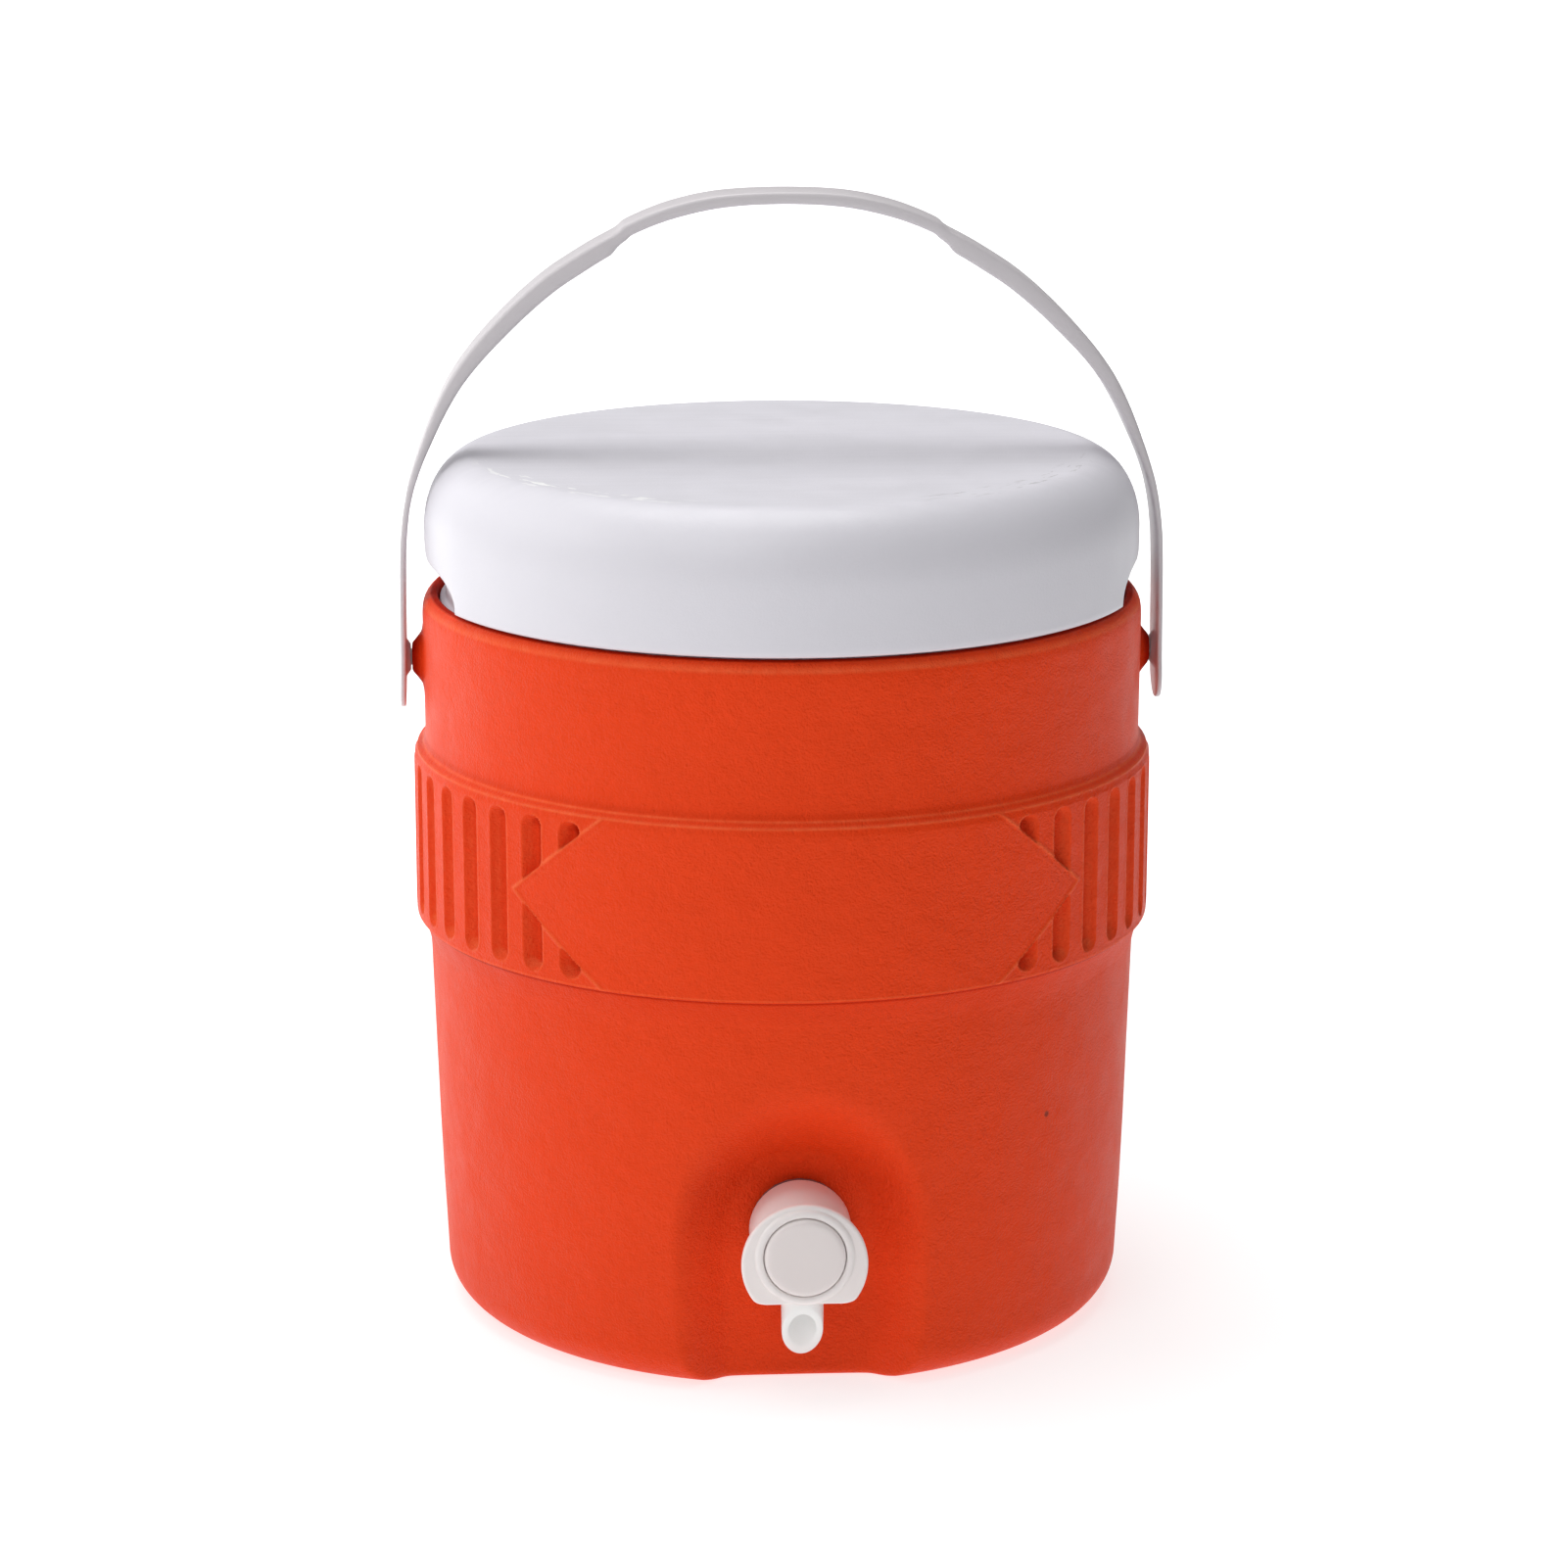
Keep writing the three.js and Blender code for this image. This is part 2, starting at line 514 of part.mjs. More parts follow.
const button = new THREE.Group();
part('tap_button', buttonSolid, tapWhite, button);
part('tap_stem', tapStem, tapWhite, button);
part('valve_seal', valveSeal, grey, button);
part('stem_clip', stemClip, steel, button);

jug.add(body, lid, handle, tap, button);
export default jug;
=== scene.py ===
# Looks for the insulated drinks jug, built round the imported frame. Lengths here are in millimetres
# until a mesh is made, which turns them into metres.
import math

import bpy
import numpy as np
from mathutils import Matrix, Vector


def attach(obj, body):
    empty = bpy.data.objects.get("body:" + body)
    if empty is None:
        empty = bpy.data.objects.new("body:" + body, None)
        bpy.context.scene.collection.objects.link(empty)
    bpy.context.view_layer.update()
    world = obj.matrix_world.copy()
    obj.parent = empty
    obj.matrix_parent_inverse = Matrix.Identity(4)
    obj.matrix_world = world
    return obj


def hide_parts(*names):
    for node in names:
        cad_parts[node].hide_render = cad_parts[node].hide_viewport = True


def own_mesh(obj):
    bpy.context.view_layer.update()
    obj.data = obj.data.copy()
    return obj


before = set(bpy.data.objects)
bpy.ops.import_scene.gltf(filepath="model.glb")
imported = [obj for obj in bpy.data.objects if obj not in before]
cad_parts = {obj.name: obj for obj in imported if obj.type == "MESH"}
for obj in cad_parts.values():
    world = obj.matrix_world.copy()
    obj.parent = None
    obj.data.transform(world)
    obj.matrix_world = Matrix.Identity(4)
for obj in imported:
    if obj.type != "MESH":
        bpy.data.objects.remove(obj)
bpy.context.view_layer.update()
SCENE = bpy.context.scene


# ------------------------------------------------------------------ mesh helpers
def smooth(e0, e1, x):
    t = np.clip((x - e0) / (e1 - e0), 0.0, 1.0)
    return t * t * (3 - 2 * t)


def smin(a, b, k):
    h = np.clip(0.5 + 0.5 * (b - a) / k, 0.0, 1.0)
    return b * (1 - h) + a * h - k * h * (1 - h)


def mesh_object(name, verts, faces, flat=False):
    """verts in mm, faces as lists of corner numbers."""
    me = bpy.data.meshes.new(name)
    v = np.asarray(verts, dtype=np.float64) * 0.001
    sizes = np.array([len(f) for f in faces], dtype=np.int32)
    loops = np.fromiter((i for f in faces for i in f), dtype=np.int32, count=int(sizes.sum()))
    starts = np.concatenate([[0], np.cumsum(sizes)[:-1]]).astype(np.int32)
    me.vertices.add(len(v))
    me.vertices.foreach_set("co", v.astype(np.float32).ravel())
    me.loops.add(len(loops))
    me.loops.foreach_set("vertex_index", loops)
    me.polygons.add(len(sizes))
    me.polygons.foreach_set("loop_start", starts)
    me.polygons.foreach_set("loop_total", sizes)
    me.update(calc_edges=True)
    me.validate()
    me.polygons.foreach_set("use_smooth", np.full(len(me.polygons), not flat, dtype=bool))
    ob = bpy.data.objects.new(name, me)
    SCENE.collection.objects.link(ob)
    return ob


def volume_of(verts, faces):
    v = np.asarray(verts)
    tris = []
    for f in faces:
        for i in range(1, len(f) - 1):
            tris.append((f[0], f[i], f[i + 1]))
    t = np.array(tris)
    return float(np.einsum("ij,ij->i", v[t[:, 0]], np.cross(v[t[:, 1]], v[t[:, 2]])).sum() / 6)


def lofted(name, P, pole0=None, pole1=None, ring=False):
    """Closed surface through rows of points. P is (rows, columns, 3); the columns wrap round.
    pole0 and pole1 close the ends with a point, ring joins the last row to the first."""
    rows, cols, _ = P.shape
    verts = P.reshape(-1, 3)
    idx = np.arange(rows * cols).reshape(rows, cols)
    nxt = np.roll(idx, -1, axis=1)
    if ring:
        a, b = idx, nxt
        c, d = np.roll(nxt, -1, axis=0), np.roll(idx, -1, axis=0)
    else:
        a, b, c, d = idx[:-1], nxt[:-1], nxt[1:], idx[1:]
    quads = np.stack([a, b, c, d], axis=-1).reshape(-1, 4)
    faces = quads.tolist()
    verts = verts.tolist()
    if pole0 is not None:
        verts.append(list(pole0))
        n = len(verts) - 1
        faces += [[n, int(nxt[0, j]), int(idx[0, j])] for j in range(cols)]
    if pole1 is not None:
        verts.append(list(pole1))
        n = len(verts) - 1
        faces += [[n, int(idx[-1, j]), int(nxt[-1, j])] for j in range(cols)]
    if volume_of(verts, faces) < 0:
        faces = [f[::-1] for f in faces]
    return mesh_object(name, verts, faces)


def stitched(name, strips, pole0, pole1):
    """Closed surface from strips of rows, each strip with its own columns. Neighbouring strips are joined
    by a band of triangles. strips are (theta, P) with P (rows, columns, 3); the columns wrap round."""
    verts, faces, rings = [], [], []
    base = 0
    for theta, P in strips:
        rows, cols, _ = P.shape
        idx = base + np.arange(rows * cols).reshape(rows, cols)
        verts.append(P.reshape(-1, 3))
        nxt = np.roll(idx, -1, axis=1)
        faces += np.stack([idx[:-1], nxt[:-1], nxt[1:], idx[1:]], axis=-1).reshape(-1, 4).tolist()
        rings.append((theta, idx[0], idx[-1]))
        base += rows * cols
    for (ta, _, a), (tb, b, _) in zip(rings[:-1], rings[1:]):
        na, nb = len(a), len(b)
        i = j = 0
        while i < na or j < nb:
            next_a = ta[i + 1] if i + 1 < na else (ta[0] + 2 * np.pi if i < na else 1e9)
            next_b = tb[j + 1] if j + 1 < nb else (tb[0] + 2 * np.pi if j < nb else 1e9)
            if next_a <= next_b:
                faces.append([int(a[i % na]), int(a[(i + 1) % na]), int(b[j % nb])])
                i += 1
            else:
                faces.append([int(a[i % na]), int(b[(j + 1) % nb]), int(b[j % nb])])
                j += 1
    verts = np.concatenate(verts).tolist()
    first, last = rings[0][1], rings[-1][2]
    verts.append(list(pole0))
    faces += [[base, int(first[(k + 1) % len(first)]), int(first[k])] for k in range(len(first))]
    verts.append(list(pole1))
    faces += [[base + 1, int(last[k]), int(last[(k + 1) % len(last)])] for k in range(len(last))]
    if volume_of(verts, faces) < 0:
        faces = [f[::-1] for f in faces]
    return mesh_object(name, verts, faces)


def turned(name, prof, n=160, axis="z", at=(0, 0, 0), ring=True):
    """Profile of (radius, height) turned round an axis. axis 'z' is up, 'y' is the tap's (height is the
    distance in front), 'x+' and 'x-' are the bail pivot's sides."""
    prof = np.array(prof, dtype=float)
    th = np.linspace(0, 2 * np.pi, n, endpoint=False)
    pole0 = pole1 = None
    body = prof
    if not ring:
        pole0, pole1 = prof[0], prof[-1]
        body = prof[1:-1]
    r, h = body[:, 0:1], body[:, 1:2]
    c, s = np.cos(th)[None], np.sin(th)[None]
    H = h + 0 * c

    def place(rc, rs, hh):
        if axis == "z":
            q = np.stack([rc, rs, hh], -1)
        elif axis == "y":
            q = np.stack([rc, -hh, rs], -1)
        elif axis == "x+":
            q = np.stack([hh, rc, rs], -1)
        else:
            q = np.stack([-hh, rc, rs], -1)
        return q + np.array(at, dtype=float)

    P = place(r * c, r * s, H)
    p0 = place(np.array(0.0), np.array(0.0), np.array(pole0[1])) if pole0 is not None else None
    p1 = place(np.array(0.0), np.array(0.0), np.array(pole1[1])) if pole1 is not None else None
    return lofted(name, P, p0, p1, ring=ring)


def rounded(points, radius, n=4, closed=True):
    """A polyline with its corners rounded. points are (a, b) or (a, b, r)."""
    out = []
    m = len(points)
    for i, p in enumerate(points):
        r = p[2] if len(p) > 2 else radius
        if not closed and i in (0, m - 1):
            out.append((p[0], p[1]))
            continue
        a = np.array(points[i - 1][:2], float)
        b = np.array(p[:2], float)
        c = np.array(points[(i + 1) % m][:2], float)
        u, v = a - b, c - b
        lu, lv = np.linalg.norm(u), np.linalg.norm(v)
        if r <= 0 or lu < 1e-6 or lv < 1e-6:
            out.append(tuple(b))
            continue
        u, v = u / lu, v / lv
        ang = math.acos(max(-1, min(1, float(u @ v))))
        t = min(r / max(math.tan(ang / 2), 1e-3), lu * 0.45, lv * 0.45)
        for k in range(n + 1):
            s = k / n
            q = b + u * t * (1 - s) ** 2 + v * t * s ** 2
            out.append(tuple(q))
    return out


def apply_modifiers(ob):
    bpy.context.view_layer.update()
    dg = bpy.context.evaluated_depsgraph_get()
    me = bpy.data.meshes.new_from_object(ob.evaluated_get(dg))
    old = ob.data
    ob.modifiers.clear()
    ob.data = me
    bpy.data.meshes.remove(old)
    me.polygons.foreach_set("use_smooth", np.ones(len(me.polygons), dtype=bool))


def combine(ob, other, how="UNION"):
    m = ob.modifiers.new("cut", "BOOLEAN")
    m.operation = how
    m.solver = "MANIFOLD"
    m.object = other
    apply_modifiers(ob)
    bpy.data.objects.remove(other)


def edges_by_angle(ob, degrees=35):
    """Sharp creases stay sharp where the surface turns more than this."""
    me = ob.data
    me.update()
    bpy.context.view_layer.objects.active = ob
    for o in bpy.context.selected_objects:
        o.select_set(False)
    ob.select_set(True)
    bpy.ops.object.shade_smooth_by_angle(angle=math.radians(degrees))
    ob.select_set(False)


# ------------------------------------------------------------------ dimensions shared with the frame
R_BAND = 122.0
BAND_LO, BAND_HI = 133.1, 188.6
SLOT_PITCH, SLOT_W, SLOT_DEEP = 7.2, 7.6, 3.7
SLOT_Z0, SLOT_Z1 = 135.9, 185.9
PANEL_TIP, PANEL_CORNER = math.radians(47.2), math.radians(30.6)
TAP_Z, PAD, PAD_R = 52.0, 97.5, 24.0
LID_R, LID_TOP_R, LID_Z, SHOULDER_Z = 117.4, 100.7, 285.5, 262.0
WELL_R = 110.5
PIVOT_Z = 217.5


# ------------------------------------------------------------------ casing
def recess_front(x, z):
    d = np.where(z > TAP_Z, np.hypot(x, z - TAP_Z), np.abs(x))
    t = d - PAD_R
    k = 2.2
    flare = 1.3 - 0.13 * smooth(TAP_Z - 10, TAP_Z + 26, z)
    return PAD + 0.5 * (t + np.sqrt(t * t + k * k)) / flare - 0.02


def recess_radius(theta, z):
    """Distance from the jug's axis, along each ray, where the tap recess's surface lies."""
    th = np.abs(np.angle(np.exp(1j * theta)))
    lo = np.full(np.broadcast(theta, z).shape, 85.0)
    hi = np.full_like(lo, 140.0)
    ct, st = np.cos(th), np.sin(th)
    for _ in range(26):
        mid = 0.5 * (lo + hi)
        g = mid * ct - recess_front(mid * st, z)
        up = g > 0
        hi = np.where(up, mid, hi)
        lo = np.where(up, lo, mid)
    r = 0.5 * (lo + hi)
    return np.where(th > math.radians(42), 1e3, np.where(r > 139.5, 1e3, r))


def band_relief(theta, z, marks=None):
    """Grip slots, smooth chevron panels and their edge lines, as a change of radius."""
    out = np.zeros(np.broadcast(theta, z).shape)
    pitch = math.radians(SLOT_PITCH)
    centre = np.round(theta / pitch) * pitch
    x = (theta - centre) * R_BAND
    zc, half = 0.5 * (SLOT_Z0 + SLOT_Z1), 0.5 * (SLOT_Z1 - SLOT_Z0)
    dz = np.maximum(np.abs(z - zc) - (half - SLOT_W / 2), 0)
    d = SLOT_W / 2 - np.hypot(x, dz)                    # positive inside the slot
    near_slot = np.abs(np.angle(np.exp(1j * centre)))
    # x measured towards the nearer panel: that wall is steep, the one away from it is softer
    turned_in = np.sign(np.sin(2 * centre) + 1e-9)
    inward = -x * turned_in
    width = 2.75 - 0.75 * np.tanh(inward / 1.6)
    t = np.clip((d + 0.15) / width, 0, 1)
    depth = SLOT_DEEP * (1 - (1 - t) ** 2.2) ** 0.8
    lip = 0.16 * np.exp(-((d + 0.6) / 0.45) ** 2)
    slot_on = (np.minimum(near_slot, np.pi - near_slot) > math.radians(33)).astype(float)
    panel, ridge, cover = np.zeros_like(out), np.zeros_like(out), np.zeros_like(out)
    din_all = np.full_like(out, -99.0)
    tip, corner = PANEL_TIP * R_BAND, PANEL_CORNER * R_BAND
    h, zm = (BAND_HI - BAND_LO) / 2, (BAND_HI + BAND_LO) / 2
    ln = math.hypot(h, tip - corner)
    for c0 in (0.0, np.pi):
        a = np.angle(np.exp(1j * (theta - c0)))
        xa = np.abs(a) * R_BAND
        din = ((tip - xa) * h - np.abs(z - zm) * (tip - corner)) / ln   # inside the chevron's slanted edges
        near = (np.abs(a) < math.radians(60)).astype(float)
        side = near * smooth(10, 14, xa)
        cover = np.maximum(cover, smooth(-0.35, 0.15, din) * near)
        panel = np.maximum(panel, smooth(0.2, 1.6, din) * near)
        ridge = np.maximum(ridge, 0.5 * np.exp(-((din - 0.1) / 0.55) ** 2) * side)
        ridge = np.maximum(ridge, 0.08 * np.exp(-((din - 2.5) / 0.45) ** 2) * side)
        din_all = np.maximum(din_all, np.where((near > 0) & (xa > 12), din, -99.0))
    if marks is not None:                              # painted highlights on the crests, lips and slot ends, and painted shade in the slots, for the material
        # painted highlights: the chevrons' edge lines, the slots' lips, their lower ends and their far walls
        line = np.exp(-((din_all - 0.1) / 0.5) ** 2) + 0.12 * np.exp(-((din_all - 2.5) / 0.4) ** 2)
        rim = np.exp(-((d + 0.45) / 0.45) ** 2) * slot_on * (1 - cover)
        top_end = smooth(0.0, 3.0, (z - (SLOT_Z1 - 5.5)))
        low_end = np.exp(-((d - 0.9) / 0.7) ** 2) * smooth(0.0, 2.0, (SLOT_Z0 + 3.4) - z) * slot_on * (1 - cover)
        shade = np.clip(d / 1.3, 0, 1) * np.clip(0.42 + 0.5 * np.tanh((inward - 0.2) / 1.1) + 0.5 * top_end, 0.1, 1)
        line = line * np.where(z > 160.8, 1.0, 0.75)
        far = np.exp(-((d - 0.7) / 0.8) ** 2) * (0.5 - 0.5 * np.tanh(inward / 0.8)) * slot_on * (1 - cover)
        marks.append((np.clip(line + 0.6 * rim * (0.5 + 0.5 * np.tanh(inward)) + 1.6 * low_end + 0.45 * far, 0, 1),
                      1.0 * shade * slot_on * (1 - cover) * (1 - low_end) * (1 - far)))
    out -= depth * slot_on * (1 - cover)
    out += lip * slot_on * (1 - cover)
    out += 0.08 * panel + ridge * smooth(BAND_LO - 0.2, BAND_LO + 0.8, z) * (1 - smooth(BAND_HI - 0.8, BAND_HI + 0.2, z))
    out += 0.07 * np.exp(-((z - 184.3) / 0.4) ** 2) * panel
    return out


def low_waves(theta, z, amp):
    """The slow unevenness of a rotomoulded wall."""
    return amp * (
        0.5 * np.sin(2 * theta + 0.7) * np.cos(z / 47.0)
        + 0.35 * np.sin(5 * theta + z / 31.0)
        + 0.25 * np.cos(9 * theta - z / 19.0 + 1.3)
    )


def boss_height(theta, z):
    out = np.zeros(np.broadcast(theta, z).shape)
    for c0 in (np.pi / 2, -np.pi / 2):
        a = np.angle(np.exp(1j * (theta - c0))) * 118.5
        rho = np.hypot(a, z - PIVOT_Z)
        cone = np.clip((9.0 - rho) / (9.0 - 4.4), 0, 1)
        # rounded foot and crown
        cone = smin(cone, np.full_like(cone, 1.0), 0.16)
        foot = 0.35 * np.exp(-((rho - 9.3) / 1.5) ** 2)
        out = np.maximum(out, 3.9 * np.clip(cone, 0, 1) + foot)
    return out


def sorted_turn(degrees):
    t = np.mod(np.array(degrees, dtype=float), 360.0)
    t = np.unique(np.round(t, 5))
    keep = np.concatenate([[True], np.diff(t) > 0.05])
    return np.radians(t[keep])


def polyline_rows(points, step, kind, z0=-1e9, z1=1e9):
    out = []
    seg = np.array(points, dtype=float)
    for p, q in zip(seg[:-1], seg[1:]):
        n = max(1, int(np.ceil(np.linalg.norm(q - p) / step)))
        for i in range(n):
            r = p + (q - p) * i / n
            if z0 <= r[1] < z1:
                out.append((r[0], r[1], kind))
    return out


def build_casing():
    # columns of the band: fine where slots and chevrons need them
    off = np.degrees(np.array([-7.0, -5.9, -4.9, -4.3, -3.95, -3.65, -3.3, -2.8, -2.1, -1.2, 0, 1.2, 2.1, 2.8, 3.3, 3.65, 3.95, 4.3, 4.9, 5.9]) / R_BAND)
    deg = []
    for side in (1, -1):
        for k in range(7, 19):
            deg += list(side * k * SLOT_PITCH + off)
    for c0 in (0, 180):
        for side in (1, -1):
            deg += list(c0 + side * np.arange(26.0, 47.0, 0.235))
        deg += list(c0 + np.arange(-25.5, 25.6, 0.75 if c0 == 0 else 1.2))
    band_t = sorted_turn(deg)
    low_t = sorted_turn(list(np.arange(-25, 25.01, 0.5)) + list(np.arange(26.5, 334, 1.5)))
    high_t = sorted_turn(list(np.arange(-80, 80.1, 1.6)) + list(np.arange(81.5, 99, 0.35)) + list(np.arange(100, 260.1, 1.6)) + list(np.arange(261.5, 279, 0.35)))

    low, band, high = [], [], []
    for f in np.linspace(0.06, 0.94, 14):
        low.append((f, 0.0, "base"))
    for a in np.linspace(0, 90, 15):
        low.append((101 + 12.7 * math.sin(math.radians(a)), 13 - 13 * math.cos(math.radians(a)), "out"))
    for z in np.arange(15, 120.5, 1.7):
        low.append((np.interp(z, [13, 40, 62, 97, 120.5], [113.7, 115.0, 115.8, 116.8, 117.45]), z, "out"))
    lower = rounded([(117.45, 118.0), (117.42, 120.5, 3), (117.7, 123.6, 4), (118.4, 126.6, 5), (119.3, 129.3, 5), (120.2, 131.4, 2.5), (121.0, 132.6, 0.3), (121.98, 133.05, 0.22), (122.0, 138.0)], 1.0, n=5, closed=False)
    band += polyline_rows(lower, 0.62, "out", 121.0, 130.6) + polyline_rows(lower, 0.32, "out", 130.6, 134.6)
    for z in np.arange(134.9, 185.3, 0.56):
        band.append((R_BAND, z, "out"))
    upper = rounded([(122.0, 183.0), (121.95, 186.2, 1.2), (120.95, 188.6, 0.25), (119.0, 190.2, 0.3), (118.35, 192.4, 1.2), (118.3, 197.5, 3)], 1.0, n=5, closed=False)
    band += polyline_rows(upper, 0.5, "out", 185.4, 187.4) + polyline_rows(upper, 0.3, "out", 187.4, 191.6) + polyline_rows(upper, 0.8, "out", 191.6, 196.0)
    for z in np.concatenate([np.arange(197.2, 205, 1.9), np.arange(206, 230, 0.95), np.arange(230.3, 233, 1.2)]):
        high.append((np.interp(z, [196, 233], [118.3, 118.5]), z, "out"))
    for r, z in [(118.48, 233.6), (118.4, 234.8), (118.2, 236.0), (117.85, 237.1), (117.35, 238.05), (116.75, 238.85), (116.1, 239.45),
                 (115.4, 239.9), (114.7, 240.2), (114.1, 240.2), (113.7, 239.95), (113.42, 239.4), (113.35, 238.6), (113.3, 236), (113.3, 229.6)]:
        high.append((r, z, "rim"))
    for r, z in [(113.0, 229.1), (110.2, 229.05), (110.0, 228.5), (110.0, 227.2), (115.2, 225), (115.2, 200), (115.2, 170), (115.2, 128),
                 (113.9, 110), (112.6, 84), (111.9, 62), (111.4, 40), (110.6, 17), (108.2, 8.6), (100.5, 4.2)]:
        high.append((r, z, "in"))

    state = {}

    def strip(theta, rows):
        T = theta[None]
        P = np.zeros((len(rows), len(theta), 3))
        later = []
        for i, (r, z, kind) in enumerate(rows):
            if kind == "base":
                later.append(i)
                continue
            Z = np.full_like(T, z)
            R = np.full_like(T, r)
            if kind == "out":
                if BAND_LO - 4 < z < BAND_HI + 3:
                    R = R + band_relief(T, Z) * smooth(BAND_LO - 0.9, BAND_LO + 0.3, z) * (1 - smooth(BAND_HI - 0.3, BAND_HI + 0.5, z))
                    # narrow beads along the band's edges
                    R = R + 0.16 * np.exp(-((z - 188.45) / 0.34) ** 2) + 0.14 * np.exp(-((z - 190.15) / 0.3) ** 2) + 0.08 * np.exp(-((z - 133.7) / 0.35) ** 2)
                R = R + low_waves(T, Z, 0.1) * smooth(10, 30, z) * (1 - smooth(228, 236, z))
                if z > 200:
                    R = R + boss_height(T, Z)
            if kind == "out" and z < 130:
                rn = recess_radius(T, Z)
                rn = rn - np.where(z < 3, 3 - np.sqrt(np.maximum(9 - (3 - z) ** 2, 0)), 0)
                R = np.where(rn < 500, smin(R, np.minimum(rn, 200), 5.0 if z > 13 else 3.0), R)
            if kind == "in":
                rn = recess_radius(T, Z)
                R = np.where(rn < 500, np.minimum(R, rn - 3.4), R)
            if "edge" not in state:
                state["edge"] = R.copy()
            P[i, :, 0] = (R * np.sin(T))[0]
            P[i, :, 1] = (-R * np.cos(T))[0]
            P[i, :, 2] = Z[0]
        # the base: flat at the middle and the foot ring, with a shallow moulded hollow between
        for i in later:
            f = rows[i][0]
            R = f * state["edge"]
            rr = f * 101
            P[i, :, 0] = (R * np.sin(T))[0]
            P[i, :, 1] = (-R * np.cos(T))[0]
            P[i, :, 2] = 1.5 * smooth(44, 50, rr) * (1 - smooth(82, 88, rr))
        return theta, P

    strips = [strip(low_t, low), strip(band_t, band), strip(high_t, high)]
    ob = stitched("jug_casing", strips, (0, 0, 0), (0, 0, 4.2))
    painted_highlight, painted_shade = [], []
    for theta, P in strips:
        for i in range(P.shape[0]):
            z = P[i, 0, 2]
            e = np.zeros((1, len(theta)))
            g = np.zeros((1, len(theta)))
            if 120.0 < z <= 133.2:                   # shade under the band's lower edge
                g = g + 0.62 * np.exp(-((132.5 - z) / 0.7) ** 2) + 0.2 * smooth(118.5, 131.5, z)
            # painted shade in the groove just above the band's top edge
            if P[i, 0, 2] > 190.8 and z < 194:
                g = g + 0.18 * np.exp(-((z - 191.6) / 0.9) ** 2)
            if z > 237.0:                            # painted highlight on the rim's rounded outer shoulder, painted shade on its top in the gap under the lid
                at = np.hypot(P[i, 0, 0], P[i, 0, 1])
                e = e + 0.75 * np.exp(-((z - 237.3) / 0.9) ** 2) * (at > 116.0)
                g = g + 1.0 * (at < 115.9) * (at > 113.0)
            if 200 < z < 232 and P[i].shape[0] == len(high_t):    # the bosses stay in the strap's shade
                g = g + 1.0 * np.clip(boss_height(high_t[None], np.full((1, len(high_t)), z))[0] / 2.5, 0, 1)
            if P[i].shape[0] == len(band_t) and 133.0 < z < 190.8:
                got = []
                band_relief(theta[None], np.full((1, len(theta)), z), got)
                # painted highlights along the chevrons, the slots and the band's top and bottom edges
                e = got[0][0] * (1 - smooth(188.0, 188.8, z))
                e = np.maximum(e, 0.95 * np.exp(-((z - 188.5) / 0.42) ** 2))
                e = np.maximum(e, 0.8 * np.exp(-((z - 190.2) / 0.34) ** 2))
                e = np.maximum(e, 0.5 * np.exp(-((z - 133.6) / 0.3) ** 2))
                # painted shade in the slots
                g = got[0][1]
            painted_highlight.append(e[0])
            painted_shade.append(g[0])
    for label, values in (("painted_highlight", painted_highlight), ("painted_shade", painted_shade)):
        attr = ob.data.attributes.new(label, "FLOAT", "POINT")
        data = np.concatenate(values + [np.zeros(2)]).astype(np.float32)
        attr.data.foreach_set("value", data)
    bore = turned("bore_cut", [(0, 80), (9.9, 80), (9.9, 112), (0, 112)], 64, "y", (0, 0, TAP_Z), ring=False)
    combine(ob, bore, "DIFFERENCE")
    for side in ("x+", "x-"):
        hole = turned("stud_cut", [(0, 100), (3.1, 100), (3.1, 130), (0, 130)], 40, side, (0, 0, PIVOT_Z), ring=False)
        combine(ob, hole, "DIFFERENCE")
    return ob


# ------------------------------------------------------------------ lid
def well_wall(theta, z):
    """Radius of the lid's side where a finger well undercuts it: an arch under a rounded overhang."""
    a = np.abs(np.angle(np.exp(1j * theta)))
    off = np.degrees(np.abs(a - np.pi / 2))             # from the bail's plane
    drop = np.interp(off, [0, 13, 16, 18.5, 21, 23.5, 26.5, 31, 40], [0, 0, 0.3, 1.2, 3.2, 5.6, 6.9, 7.9, 9])
    r = np.interp(z + drop, [244.5, 246.6, 247.8, 248.6, 249.2, 249.8, 250.4, 251.1, 252.2, 254.0, 257],
                  [WELL_R, 110.55, 110.7, 111.0, 111.6, 113.0, 114.9, 116.3, 117.0, 117.3, LID_R])
    fade = 1 - smooth(21.4, 24.4, off)
    return LID_R - (LID_R - r) * fade


